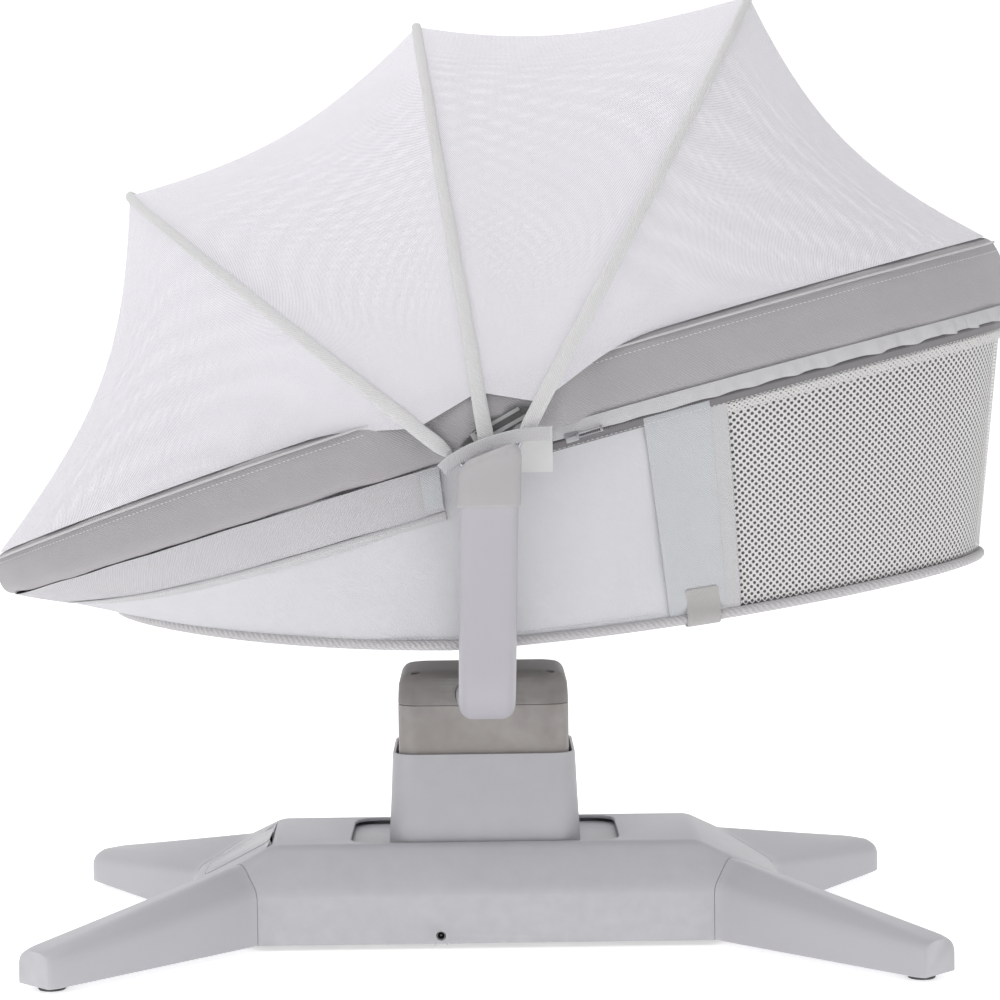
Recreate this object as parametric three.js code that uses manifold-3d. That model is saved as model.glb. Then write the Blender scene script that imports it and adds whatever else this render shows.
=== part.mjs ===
// An electric baby swing: a four-legged base with a sliding drive tower, a yoke, and a reclining
// bassinet under a folding net canopy. Millimetres, +Z up, +X towards the head end, floor at Z = 0.
import * as THREE from 'three';
import { mergeVertices } from 'three/addons/utils/BufferGeometryUtils.js';
import Module from 'manifold-3d';

const wasm = await Module();
wasm.setup();

// ---- Driving dimensions -------------------------------------------------------------------------
const GAP = 0.3;                 // clearance left between touching pieces
const WALL = 3;                  // moulded wall thickness

const BASE_TOP = 93;             // base housing: height of its flat top
const BASE_FLOOR = 5;            // and of its lower edge, held up by the foot pads
const BASE_SIDE = 54;            // height where the sides turn into the chamfer
const BASE_HALF_DEPTH = 100;
const BASE_TOP_HALF_DEPTH = 78;
const BASE_FLAT_HALF = 195;      // half-length of the flat top, before the end slopes
const BASE_HALF_LENGTH = 274;
const BASE_CORNER_X = 207;       // where a leg seam meets the side
const BASE_CORNER_Y = 32;        // where a leg seam meets the end
const END_SLOPE = 0.51;          // fall of the end slopes for each millimetre along X

const SLOT_HALF_LENGTH = 124;
const SLOT_HALF_DEPTH = 70;
const SLOT_RADIUS = 22;

const LEG_END_X = 387;           // centre of a leg's end
const LEG_END_Y = 250;
const LEG_END_HEIGHT = 36;
const PAD_X = 373;
const PAD_Y = 238;
const PAD_RADIUS = 12;

const PANEL_LENGTH = 68;         // control panel on the foot-end slope
const PANEL_DEPTH = 84;
const PANEL_THICKNESS = 2.4;
const JACK_X = -41;
const JACK_Z = 12.5;

const ROD_Y = 48;                // guide rods of the sliding carriage
const ROD_Z = 64;
const ROD_RADIUS = 4;
const ROD_HALF_LENGTH = 162;
const BUSH_RADIUS = 8;
const CARRIAGE_HALF_LENGTH = 70;
const CARRIAGE_BOTTOM = 52;
const CARRIAGE_TOP = 82.7;

const MODULE = 1.5;              // rack and pinion
const PINION_TEETH = 14;
const PITCH_RADIUS = MODULE * PINION_TEETH / 2;
const PITCH_LINE_Z = 42;
const PINION_Z = PITCH_LINE_Z - PITCH_RADIUS;
const BACKLASH = 0.3;
const RACK_TEETH = 19;

const TOWER_BOTTOM = 87;
const TOWER_RIM = 173;
const TOWER_SPLIT = 217;
const TOWER_TOP = 248;
const UPPER_WIDTH = 157;
const UPPER_DEPTH = 124;
const SCREW_X = 62;
const SCREW_Y = 49;

const ARM_WIDTH = 50;            // flat-oval yoke tube
const ARM_THICKNESS = 26;
const ARM_Z = 227.5;             // height of the tube through the tower
const ARM_BEND_Y = 180;          // where the straight runs would meet
const ARM_LEAN = 0.47;           // outward run of an arm for each millimetre of height
const ARM_BEND = 49;             // length of the bend along each run
const HEAD_BOTTOM = 411;
const HEAD_TOP = 463;
const HEAD_INNER_Y = 250;

const HUB_X = 12;                // axis that the bassinet and the bows turn on
const HUB_Z = 424;
const HUB_PIN_RADIUS = 5;

const RIM_TILT = THREE.MathUtils.degToRad(16.2);
const RIM_OFFSET = 46.7;         // hub axis to the rim's middle plane
const RIM_ARCH = 15;             // the side rails rise above that plane beside the hub
const RIM_HALF_WIDTH = 228;
const RIM_FOOT = 468;            // rim length from the hub to each end
const RIM_HEAD = 506;
const RIM_PAD_HALF = 18;         // half the padded rim's thickness
const RIM_FOOT_HEIGHT = 37;      // padded rim's height at the foot and head ends
const RIM_HEAD_HEIGHT = 68;
const RIM_TUBE_RADIUS = 8;

const BRACKET_Y = 232.5;         // outer face of the plates that hang the rim on the hub pins
const CLAMP_WIDTH = 34.5;
const CLAMP_BOTTOM = HUB_Z + 50;
const CLAMP_TOP = HUB_Z + 75;

const FLOOR_HALF_WIDTH = 178;    // bassinet floor outline
const FLOOR_FOOT = 347;
const FLOOR_HEAD = 450;
const FLOOR_LOW = 284.5;
const FABRIC = 3;
const MATTRESS_THICKNESS = 24;

const BOW_RADIUS = 2.5;
const BOW_PITCH = 5.4;           // the bow ends lie side by side on the hub pin
const BOW_FIRST_Y = 235.9;
const BOW_ANGLES = [141.3, 98.9, 61.4];
const BOW_HEIGHTS = [424, 421, 501];
const BOW_POWER = 2.5;
const BOW_ROOT = 30;             // how far from the hub axis a bow's flat end reaches
const NET_SAG = [34, 24, 20, 30];
const NET_START = 84;            // distance from the hub axis where the net's edges start

// ---- Finishes -----------------------------------------------------------------------------------
function finish(color, roughness, metalness = 0) {
  return new THREE.MeshStandardMaterial({ color, roughness, metalness });
}

const basePlastic = finish(0xc6c4ca, 0.5);
const towerPlastic = finish(0xb4b3b6, 0.5);
const warmPlastic = finish(0xa39d98, 0.55);
const armPlastic = finish(0xbbb9bf, 0.45);
const panelPlastic = finish(0x96949b, 0.3);
const whitePlastic = finish(0xd9d9d9, 0.5);
const darkPlastic = finish(0x2b2b2d, 0.5);
const rubber = finish(0x3a3a3c, 0.9);
const steel = finish(0xa9abb0, 0.35, 1);
const zinc = finish(0x9a9a9c, 0.3, 1);
const board = finish(0x2f5d3a, 0.6);
const bronze = finish(0x9a7a4a, 0.45, 1);
const twill = finish(0xd3d3d3, 0.9);
const sidePanelCloth = finish(0xdcdcdf, 0.9);
const meshCloth = finish(0xcfcdcb, 0.9);
const webbing = finish(0xc3c1c0, 0.85);
const netCloth = finish(0xe7e5ea, 0.9);
const mattressCloth = finish(0xe3e1df, 0.95);

// ---- Solids -------------------------------------------------------------------------------------
function toSolid(geometry) {
  const bare = geometry.clone();
  bare.deleteAttribute('normal');
  bare.deleteAttribute('uv');
  const merged = mergeVertices(bare, 1e-4);
  const vertProperties = new Float32Array(merged.attributes.position.array);
  const triVerts = new Uint32Array(merged.index.array);
  return new wasm.Manifold(new wasm.Mesh({ numProp: 3, vertProperties, triVerts }));
}

function toGeometry(solid) {
  const mesh = solid.getMesh();
  const geometry = new THREE.BufferGeometry();
  geometry.setAttribute('position', new THREE.BufferAttribute(new Float32Array(mesh.vertProperties), 3));
  geometry.setIndex(new THREE.BufferAttribute(new Uint32Array(mesh.triVerts), 1));
  geometry.computeVertexNormals();
  return geometry;
}

function join(...geometries) {
  return toGeometry(geometries.map(toSolid).reduce((sum, next) => sum.add(next)));
}

function cut(geometry, ...tools) {
  return toGeometry(tools.map(toSolid).reduce((rest, tool) => rest.subtract(tool), toSolid(geometry)));
}

function common(...geometries) {
  return toGeometry(geometries.map(toSolid).reduce((rest, next) => rest.intersect(next)));
}

// Boxes and Y cylinders take their limits in either order, so a mirrored side only changes a sign.
function box(x0, x1, y0, y1, z0, z1) {
  const geometry = new THREE.BoxGeometry(Math.abs(x1 - x0), Math.abs(y1 - y0), Math.abs(z1 - z0));
  return geometry.translate((x0 + x1) / 2, (y0 + y1) / 2, (z0 + z1) / 2);
}

function cylinderY(radius, y0, y1, x, z, sides = 20) {
  return new THREE.CylinderGeometry(radius, radius, Math.abs(y1 - y0), sides).translate(x, (y0 + y1) / 2, z);
}

function cylinderZ(radius, z0, z1, x, y, sides = 20) {
  return new THREE.CylinderGeometry(radius, radius, z1 - z0, sides).rotateX(Math.PI / 2)
    .translate(x, y, (z0 + z1) / 2);
}

function cylinderX(radius, x0, x1, y, z, sides = 20) {
  return new THREE.CylinderGeometry(radius, radius, x1 - x0, sides).rotateZ(Math.PI / 2)
    .translate((x0 + x1) / 2, y, z);
}

function shapeOf(points) {
  return new THREE.Shape(points.map(([x, y]) => new THREE.Vector2(x, y)));
}

function extruded(points, depth) {
  return new THREE.ExtrudeGeometry(shapeOf(points), { depth, bevelEnabled: false });
}

function prismZ(points, z0, z1) {
  return extruded(points, z1 - z0).translate(0, 0, z0);
}

function prismY(points, y0, y1) {
  return extruded(points, y1 - y0).rotateX(Math.PI / 2).translate(0, y1, 0);
}

function prismX(points, x0, x1) {
  const turn = new THREE.Matrix4().makeBasis(
    new THREE.Vector3(0, 1, 0), new THREE.Vector3(0, 0, 1), new THREE.Vector3(1, 0, 0));
  return extruded(points, x1 - x0).applyMatrix4(turn).translate(x0, 0, 0);
}

function roundedOutline(width, depth, radius, steps = 3) {
  const points = [];
  for (let corner = 0; corner < 4; corner++) {
    const sx = corner === 0 || corner === 3 ? 1 : -1;
    const sy = corner < 2 ? 1 : -1;
    for (let step = 0; step <= steps; step++) {
      const angle = (corner + step / steps) * Math.PI / 2;
      points.push([
        sx * (width / 2 - radius) + radius * Math.cos(angle),
        sy * (depth / 2 - radius) + radius * Math.sin(angle),
      ]);
    }
  }
  return points;
}

function ringAt(points, z) {
  return points.map(([x, y]) => new THREE.Vector3(x, y, z));
}

// A closed skin over a list of rings. With endless it runs back to the first ring, and otherwise
// each end is closed by strips from the ring's first half straight across to its second half.
function loft(rings, endless = false) {
  const count = rings[0].length;
  const points = rings.flat();
  const faces = [];
  const last = endless ? rings.length : rings.length - 1;
  for (let row = 0; row < last; row++) {
    const next = (row + 1) % rings.length;
    for (let column = 0; column < count; column++) {
      const beside = (column + 1) % count;
      const [a, b] = [row * count + column, row * count + beside];
      const [c, d] = [next * count + beside, next * count + column];
      faces.push(a, b, c, a, c, d);
    }
  }
  if (!endless) {
    for (const [start, flip] of [[0, true], [(rings.length - 1) * count, false]]) {
      for (let column = 0; column + 1 < count / 2; column++) {
        const [a, b] = [start + column, start + column + 1];
        const [c, d] = [start + count - 2 - column, start + count - 1 - column];
        faces.push(...(flip ? [a, c, b, a, d, c] : [a, b, c, a, c, d]));
      }
    }
  }
  return outward(new THREE.BufferGeometry().setFromPoints(points), faces);
}

function outward(geometry, faces) {
  const position = geometry.attributes.position;
  const [a, b, c] = [new THREE.Vector3(), new THREE.Vector3(), new THREE.Vector3()];
  let volume = 0;
  for (let index = 0; index < faces.length; index += 3) {
    a.fromBufferAttribute(position, faces[index]);
    b.fromBufferAttribute(position, faces[index + 1]);
    c.fromBufferAttribute(position, faces[index + 2]);
    volume += a.dot(b.cross(c));
  }
  geometry.setIndex(volume < 0 ? faces.slice().reverse() : faces);
  geometry.computeVertexNormals();
  return geometry;
}

// A closed slab between two grids of points of the same size.
function slab(front, back) {
  const rows = front.length;
  const columns = front[0].length;
  const points = [...front.flat(), ...back.flat()];
  const faces = [];
  const at = (side, row, column) => side * rows * columns + row * columns + column;
  const quad = (p, q, r, s) => faces.push(p, q, r, p, r, s);
  for (let row = 0; row + 1 < rows; row++) {
    for (let column = 0; column + 1 < columns; column++) {
      const [right, below] = [column + 1, row + 1];
      quad(at(0, row, column), at(0, row, right), at(0, below, right), at(0, below, column));
      quad(at(1, row, column), at(1, below, column), at(1, below, right), at(1, row, right));
    }
  }
  for (let row = 0; row + 1 < rows; row++) {
    quad(at(0, row, 0), at(0, row + 1, 0), at(1, row + 1, 0), at(1, row, 0));
    const end = columns - 1;
    quad(at(0, row, end), at(1, row, end), at(1, row + 1, end), at(0, row + 1, end));
  }
  for (let column = 0; column + 1 < columns; column++) {
    quad(at(0, 0, column), at(1, 0, column), at(1, 0, column + 1), at(0, 0, column + 1));
    const end = rows - 1;
    quad(at(0, end, column), at(0, end, column + 1), at(1, end, column + 1), at(1, end, column));
  }
  return outward(new THREE.BufferGeometry().setFromPoints(points), faces);
}

function swept(section, curve, steps) {
  return new THREE.ExtrudeGeometry(section, { steps, extrudePath: curve, bevelEnabled: false });
}

function circle(radius, sides) {
  const points = [];
  for (let side = 0; side < sides; side++) {
    const angle = side * 2 * Math.PI / sides;
    points.push([radius * Math.cos(angle), radius * Math.sin(angle)]);
  }
  return points;
}

const assembly = new THREE.Group();

function add(name, geometry, material, parent = assembly) {
  const mesh = new THREE.Mesh(geometry, material);
  mesh.name = name;
  parent.add(mesh);
  return mesh;
}

// ---- Base ---------------------------------------------------------------------------------------
// The base block is one profile across, one along and one in plan, each pulled in by the same inset.
function baseBlock(inset, bottom) {
  const side = BASE_HALF_DEPTH - inset;
  const top = BASE_TOP - inset;
  const topHalf = BASE_TOP_HALF_DEPTH - inset;
  const chamfer = BASE_SIDE - inset / 2;
  const end = BASE_HALF_LENGTH - inset;
  const slopeEnd = top - (end - BASE_FLAT_HALF + inset) * END_SLOPE;
  const cornerX = BASE_CORNER_X - inset;
  const cornerY = BASE_CORNER_Y - inset;
  const across = prismX([[-side, bottom], [side, bottom], [side, chamfer], [topHalf, top],
    [-topHalf, top], [-side, chamfer]], -end, end);
  const along = prismY([[-end, bottom], [end, bottom], [end, slopeEnd], [BASE_FLAT_HALF - inset, top],
    [inset - BASE_FLAT_HALF, top], [-end, slopeEnd]], -side, side);
  const plan = prismZ([[cornerX, -side], [end, -cornerY], [end, cornerY], [cornerX, side],
    [-cornerX, side], [-end, cornerY], [-end, -cornerY], [-cornerX, -side]], bottom, top);
  return common(across, along, plan);
}

function legDirection() {
  const rootX = (BASE_CORNER_X + BASE_HALF_LENGTH) / 2;
  const rootY = (BASE_HALF_DEPTH + BASE_CORNER_Y) / 2;
  return { rootX, rootY, run: new THREE.Vector3(LEG_END_X - rootX, LEG_END_Y - rootY, 0) };
}

// One ring of a leg's section, on a vertical plane across the leg. The root section is the base
// block's own outline at the seam, and it melts into a low trapezoid at the leg's end.
function legRing(share, inset, shrink) {
  const { rootX, rootY, run } = legDirection();
  const root = [[-47.5, 5], [-47.5, 54], [-37, 66.5], [-27, 79], [0, 69.8], [24, 61], [47.5, 52.7], [47.5, 5]];
  const tip = [[-25, 5], [-25, 29], [-22, 33.5], [-12, LEG_END_HEIGHT], [0, LEG_END_HEIGHT],
    [12, LEG_END_HEIGHT], [25, 29], [25, 5]];
  const across = new THREE.Vector3(Math.SQRT1_2, -Math.SQRT1_2, 0);
  const centre = new THREE.Vector3(rootX, rootY, 0).addScaledVector(run, share);
  const low = BASE_FLOOR + (inset > 0 ? WALL : 0);
  return root.map(([rootAcross, rootHeight], index) => {
    const width = THREE.MathUtils.lerp(rootAcross, tip[index][0], share);
    const height = THREE.MathUtils.lerp(rootHeight, tip[index][1], share);
    const limit = Math.sign(width) * Math.max(Math.abs(width) - inset - shrink, 0);
    const point = centre.clone().addScaledVector(across, limit);
    point.z = height <= BASE_FLOOR ? low + shrink / 3 : height - inset - shrink / 3;
    return point;
  });
}

function leg(sx, sy) {
  const outside = [0.002, 0.25, 0.5, 0.75, 0.94, 0.985, 1].map((share, index) =>
    legRing(share, 0, [0, 0, 0, 0, 0, 2.5, 7][index]));
  const inside = [-0.02, 0.5, 0.93].map((share) => legRing(share, WALL, 0));
  const hollow = cut(loft(outside), loft(inside));
  return mirrored(hollow, sx, sy);
}

function mirrored(geometry, sx, sy) {
  const copy = geometry.clone().scale(sx, sy, 1);
  if (sx * sy < 0) {
    copy.setIndex(Array.from(copy.index.array).reverse());
  }
  copy.computeVertexNormals();
  return copy;
}

function spigot(sx, sy) {
  const { rootX, rootY, run } = legDirection();
  const along = run.clone().normalize();
  const block = box(-20, 34, -26, 26, 12, 42);
  block.rotateZ(Math.atan2(along.y, along.x));
  block.translate(rootX, rootY, 0);
  return mirrored(mergeVertices(block), sx, sy);
}

const CORNERS = [['foot_near', -1, -1], ['foot_far', -1, 1], ['head_near', 1, -1], ['head_far', 1, 1]];
const SLOPE_ANGLE = Math.atan(END_SLOPE);
const PANEL_X = -231;
const PANEL_Z = BASE_TOP + (PANEL_X + BASE_FLAT_HALF) * END_SLOPE;

function onFootSlope(geometry) {
  return geometry.rotateY(-SLOPE_ANGLE).translate(PANEL_X, 0, PANEL_Z);
}

function base() {
  const slot = prismZ(roundedOutline(2 * SLOT_HALF_LENGTH, 2 * SLOT_HALF_DEPTH, SLOT_RADIUS), 70, 100);
  const pocketOutline = roundedOutline(PANEL_LENGTH + 2 * GAP, PANEL_DEPTH + 2 * GAP, 12);
  const pocket = onFootSlope(prismZ(pocketOutline, -PANEL_THICKNESS - GAP, 4));
  const ribbonHole = onFootSlope(box(-12, 12, -6, 6, -12, 2));
  const jackHole = cylinderY(4.5, -BASE_HALF_DEPTH - 1, -BASE_HALF_DEPTH + 8, JACK_X, JACK_Z);
  const inside = baseBlock(WALL, BASE_FLOOR - 1);
  const thickSlope = onFootSlope(box(-60, 60, -60, 60, -6, -WALL + 1));
  const padding = common(thickSlope, baseBlock(1, BASE_FLOOR));
  const hollow = join(cut(baseBlock(0, BASE_FLOOR), inside), padding);
  const body = cut(hollow, slot, pocket, ribbonHole, jackHole);
  const spigots = CORNERS.map(([, sx, sy]) => spigot(sx, sy));
  add('base_shell', join(body, ...spigots), basePlastic);

  const inner = WALL + 0.5;
  const coverPlan = [
    [BASE_CORNER_X - inner, -BASE_HALF_DEPTH + inner],
    [BASE_HALF_LENGTH - inner, -BASE_CORNER_Y + inner],
    [BASE_HALF_LENGTH - inner, BASE_CORNER_Y - inner],
    [BASE_CORNER_X - inner, BASE_HALF_DEPTH - inner],
  ];
  const mirrorPlan = coverPlan.map(([x, y]) => [-x, -y]);
  add('bottom_cover', prismZ([...coverPlan, ...mirrorPlan], BASE_FLOOR, BASE_FLOOR + WALL), darkPlastic);

  for (const [corner, sx, sy] of CORNERS) {
    add(`leg_${corner}`, leg(sx, sy), basePlastic);
    const pad = cylinderZ(PAD_RADIUS, 0, BASE_FLOOR - GAP, sx * PAD_X, sy * PAD_Y);
    add(`foot_pad_${corner}`, pad, rubber);
  }

  const panelOutline = roundedOutline(PANEL_LENGTH, PANEL_DEPTH, 12);
  add('control_panel', onFootSlope(prismZ(panelOutline, -PANEL_THICKNESS, 0.4)), panelPlastic);
  add('control_board', onFootSlope(box(-32, 20, -34, 34, -14, -12.4)), board);
  add('dc_jack', dcJack(), darkPlastic);
}

function dcJack() {
  const profile = [[0, 0], [4.1, 0], [4.1, 14], [3.1, 14], [3.1, 3], [1, 3], [1, 12], [0, 12]];
  const socket = new THREE.LatheGeometry(profile.map(([x, y]) => new THREE.Vector2(x, y)), 20);
  return socket.rotateX(Math.PI).translate(JACK_X, -BASE_HALF_DEPTH + 14, JACK_Z);
}

// ---- Drive --------------------------------------------------------------------------------------
function drive() {
  for (const [side, sy] of [['near', -1], ['far', 1]]) {
    const rod = cylinderX(ROD_RADIUS, -ROD_HALF_LENGTH, ROD_HALF_LENGTH, sy * ROD_Y, ROD_Z);
    add(`guide_rod_${side}`, rod, steel);
  }
  for (const [end, sx] of [['foot', -1], ['head', 1]]) {
    const block = box(sx * 156 - 6, sx * 156 + 6, -60, 60, BASE_FLOOR + WALL + GAP, 76);
    const holes = [-1, 1].map((sy) =>
      cylinderX(ROD_RADIUS + GAP, sx * 156 - 8, sx * 156 + 8, sy * ROD_Y, ROD_Z));
    add(`rod_bracket_${end}`, cut(block, ...holes), darkPlastic);
  }
  const plateHole = cylinderY(5, 7, 12, 0, PINION_Z);
  const plate = box(-24, 24, 8, 11, BASE_FLOOR + WALL + GAP, 50);
  const foot = box(-24, 24, 10, 30, BASE_FLOOR + WALL + GAP, 12);
  add('motor_bracket', cut(join(plate, foot), plateHole), steel);
  const motorBody = cylinderY(17.5, 11 + GAP, 66, 0, PINION_Z, 32);
  const motorEnd = cylinderY(14, 65, 72, 0, PINION_Z, 32);
  const shaftHole = cylinderY(3.4, 9, 24, 0, PINION_Z);
  add('gear_motor', cut(join(motorBody, motorEnd), shaftHole, box(-30, 30, 0, 31, 0, 12 + GAP)), zinc);
  add('pinion', pinion(), steel);
  add('carriage_block', carriageBlock(), darkPlastic);
  for (const [end, sx] of [['foot', -1], ['head', 1]]) {
    for (const [side, sy] of [['near', -1], ['far', 1]]) {
      add(`bush_${end}_${side}`, bush(sx * 58, sy * ROD_Y), bronze);
    }
  }
  add('rack', rack(), whitePlastic);
  const cover = prismZ(roundedOutline(298, 146, 12), CARRIAGE_TOP + GAP, TOWER_BOTTOM - GAP);
  add('dust_cover', cover, towerPlastic);
}

function involuteAngle(pressure) {
  return Math.tan(pressure) - pressure;
}

function pinion() {
  const pressure = THREE.MathUtils.degToRad(20);
  const baseRadius = PITCH_RADIUS * Math.cos(pressure);
  const rootRadius = PITCH_RADIUS - 1.25 * MODULE;
  const tipRadius = PITCH_RADIUS + 0.9 * MODULE;
  const halfTooth = Math.PI / 2 / PINION_TEETH - BACKLASH / 2 / PITCH_RADIUS;
  const flank = [baseRadius, (baseRadius + tipRadius) / 2, tipRadius].map((radius) => {
    const angle = Math.acos(Math.min(1, baseRadius / radius));
    return [radius, halfTooth + involuteAngle(pressure) - involuteAngle(angle)];
  });
  flank.unshift([rootRadius, flank[0][1]]);
  const outline = [];
  for (let tooth = 0; tooth < PINION_TEETH; tooth++) {
    const centre = Math.PI / 2 + tooth * 2 * Math.PI / PINION_TEETH;
    for (const [radius, half] of flank) {
      outline.push([radius * Math.cos(centre - half), radius * Math.sin(centre - half)]);
    }
    for (const [radius, half] of flank.slice().reverse()) {
      outline.push([radius * Math.cos(centre + half), radius * Math.sin(centre + half)]);
    }
  }
  const gear = prismY(outline, -6, 6).translate(0, 0, PINION_Z);
  return join(gear, cylinderY(3, -7, 22, 0, PINION_Z));
}

function rack() {
  const pitch = Math.PI * MODULE;
  const slant = Math.tan(THREE.MathUtils.degToRad(20));
  const tipDepth = 0.85 * MODULE;
  const rootDepth = 1.25 * MODULE;
  const halfTooth = pitch / 4 - BACKLASH / 2;
  const left = -RACK_TEETH * pitch / 2 - 1;
  const outline = [[left, PITCH_LINE_Z + rootDepth]];
  for (let tooth = 0; tooth < RACK_TEETH + 1; tooth++) {
    const centre = (tooth - RACK_TEETH / 2) * pitch;
    if (tooth > 0 && tooth < RACK_TEETH) {
      outline.push([centre - halfTooth - rootDepth * slant, PITCH_LINE_Z + rootDepth]);
      outline.push([centre - halfTooth + tipDepth * slant, PITCH_LINE_Z - tipDepth]);
      outline.push([centre + halfTooth - tipDepth * slant, PITCH_LINE_Z - tipDepth]);
      outline.push([centre + halfTooth + rootDepth * slant, PITCH_LINE_Z + rootDepth]);
    }
  }
  outline.push([-left, PITCH_LINE_Z + rootDepth]);
  outline.push([-left, CARRIAGE_BOTTOM - GAP], [left, CARRIAGE_BOTTOM - GAP]);
  return prismY(outline, -6, 6);
}

function carriageBlock() {
  const length = CARRIAGE_HALF_LENGTH;
  const block = box(-length, length, -60, 60, CARRIAGE_BOTTOM, CARRIAGE_TOP);
  const bores = [-1, 1].map((sy) =>
    cylinderX(BUSH_RADIUS + GAP, -length - 1, length + 1, sy * ROD_Y, ROD_Z));
  const relief = [-1, 1].map((sx) =>
    box(sx * 34 - 28, sx * 34 + 28, -34, 34, CARRIAGE_BOTTOM + 6, CARRIAGE_TOP + 1));
  return cut(block, ...bores, ...relief);
}

function bush(x, y) {
  const half = 10;
  const bore = ROD_RADIUS + 0.1;
  const profile = [[bore, -half], [BUSH_RADIUS, -half], [BUSH_RADIUS, half], [bore, half], [bore, -half]];
  const ring = new THREE.LatheGeometry(profile.map(([r, along]) => new THREE.Vector2(r, along)), 24);
  return ring.rotateZ(Math.PI / 2).translate(x, y, ROD_Z);
}

// ---- Tower --------------------------------------------------------------------------------------
function tower() {
  const lowerOuter = loft([
    ringAt(roundedOutline(176, 138, 22), TOWER_BOTTOM),
    ringAt(roundedOutline(168, 134, 22), TOWER_RIM),
  ]);
  const lowerInner = loft([
    ringAt(roundedOutline(170, 132, 19), TOWER_BOTTOM + WALL),
    ringAt(roundedOutline(162, 128, 19), TOWER_RIM + 1),
  ]);
  add('tower_lower_housing', cut(lowerOuter, lowerInner), towerPlastic);

  const upper = prismZ(roundedOutline(UPPER_WIDTH, UPPER_DEPTH, 18), TOWER_BOTTOM + WALL + GAP, TOWER_SPLIT);
  const inside = roundedOutline(UPPER_WIDTH - 2 * WALL, UPPER_DEPTH - 2 * WALL, 15);
  const hollow = cut(upper, prismZ(inside, TOWER_BOTTOM + 2 * WALL, TOWER_SPLIT + 1));
  const bossHeights = screwPlaces().map(([x, y]) => cylinderZ(6, 190, TOWER_SPLIT, x, y, 10));
  const shelf = screwPlaces().map(([x, y]) => {
    const [sx, sy] = [Math.sign(x), Math.sign(y)];
    return box(x - 5 * sx, x + 18 * sx, y - 3 * sy, y + 12 * sy, 190, TOWER_SPLIT - 6);
  });
  const bracedBosses = common(join(...bossHeights, ...shelf.map((piece) => mergeVertices(piece))), upper);
  const threadHoles = screwPlaces().map(([x, y]) => cylinderZ(2.3, 200, TOWER_SPLIT + 1, x, y, 8));
  add('tower_upper_housing', cut(join(hollow, bracedBosses), yokeChannel(), ...threadHoles), warmPlastic);

  const crown = [[0, TOWER_SPLIT + GAP], [0.6, TOWER_TOP - 12], [3, TOWER_TOP - 5.5], [7, TOWER_TOP - 2.5],
    [15, TOWER_TOP - 0.9], [26, TOWER_TOP]];
  const capOuter = loft(crown.map(([inset, z]) =>
    ringAt(roundedOutline(UPPER_WIDTH - 2 * inset, UPPER_DEPTH - 2 * inset, Math.max(4, 18 - inset / 2)), z)));
  const pocketOutline = roundedOutline(UPPER_WIDTH - 3 * WALL, UPPER_DEPTH - 3 * WALL, 14);
  const pocket = prismZ(pocketOutline, TOWER_SPLIT - 1, TOWER_TOP - 10);
  const bosses = screwPlaces().map(([x, y]) => cylinderZ(6.5, TOWER_SPLIT + GAP, TOWER_TOP - 4, x, y, 12));
  const wells = screwPlaces().map(([x, y]) => cylinderZ(4.4, TOWER_TOP - 8, TOWER_TOP + 5, x, y, 12));
  const bores = screwPlaces().map(([x, y]) => cylinderZ(2.3, TOWER_SPLIT - 1, TOWER_TOP, x, y, 8));
  const cap = join(cut(capOuter, pocket), ...bosses);
  add('tower_cap', cut(cap, ...wells, ...bores, yokeChannel()), warmPlastic);
  screwPlaces().forEach(([x, y], index) => {
    const head = cylinderZ(3.8, TOWER_TOP - 8 + GAP, TOWER_TOP - 5, x, y, 12);
    const shank = cylinderZ(1.9, 203, TOWER_TOP - 7, x, y, 8);
    const socket = prismZ(circle(1.7, 6).map(([cx, cy]) => [cx + x, cy + y]), TOWER_TOP - 6.4, TOWER_TOP);
    add(`cap_screw_${index + 1}`, cut(join(head, shank), socket), steel);
  });
}

function screwPlaces() {
  return [[-SCREW_X, -SCREW_Y], [SCREW_X, -SCREW_Y], [-SCREW_X, SCREW_Y], [SCREW_X, SCREW_Y]];
}

function yokeChannel() {
  const half = ARM_THICKNESS / 2 + GAP;
  const outline = roundedOutline(ARM_WIDTH + 2 * GAP, 2 * half, half - 0.5);
  return prismY(outline.map(([x, z]) => [x, z + ARM_Z]), -90, 90);
}

// ---- Yoke ---------------------------------------------------------------------------------------
function armPoint(z, side) {
  return new THREE.Vector3(0, side * (ARM_BEND_Y + (z - ARM_Z) * ARM_LEAN), z);
}

function yokePath() {
  const up = new THREE.Vector3(0, ARM_LEAN, 1).normalize().multiplyScalar(ARM_BEND);
  const corner = (side) => new THREE.Vector3(0, side * ARM_BEND_Y, ARM_Z);
  const before = (side) => new THREE.Vector3(0, side * (ARM_BEND_Y - ARM_BEND), ARM_Z);
  const after = (side) => corner(side).add(new THREE.Vector3(0, side * up.y, up.z));
  const path = new THREE.CurvePath();
  path.add(new THREE.LineCurve3(armPoint(HEAD_BOTTOM + 30, -1), after(-1)));
  path.add(new THREE.QuadraticBezierCurve3(after(-1), corner(-1), before(-1)));
  path.add(new THREE.LineCurve3(before(-1), before(1)));
  path.add(new THREE.QuadraticBezierCurve3(before(1), corner(1), after(1)));
  path.add(new THREE.LineCurve3(after(1), armPoint(HEAD_BOTTOM + 30, 1)));
  return path;
}

function ovalSection(width, thickness) {
  return roundedOutline(width, thickness, thickness / 2 - 0.5, 3);
}

function yoke() {
  const section = shapeOf(ovalSection(ARM_WIDTH, ARM_THICKNESS));
  section.holes.push(shapeOf(ovalSection(ARM_WIDTH - 2 * WALL, ARM_THICKNESS - 2 * WALL)));
  add('yoke', swept(section, yokePath(), 22), armPlastic);
  for (const [side, sy] of [['near', -1], ['far', 1]]) {
    add(`hinge_head_${side}`, hingeHead(sy), armPlastic);
    add(`hub_pin_${side}`, hubPin(sy), steel);
  }
}

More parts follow.
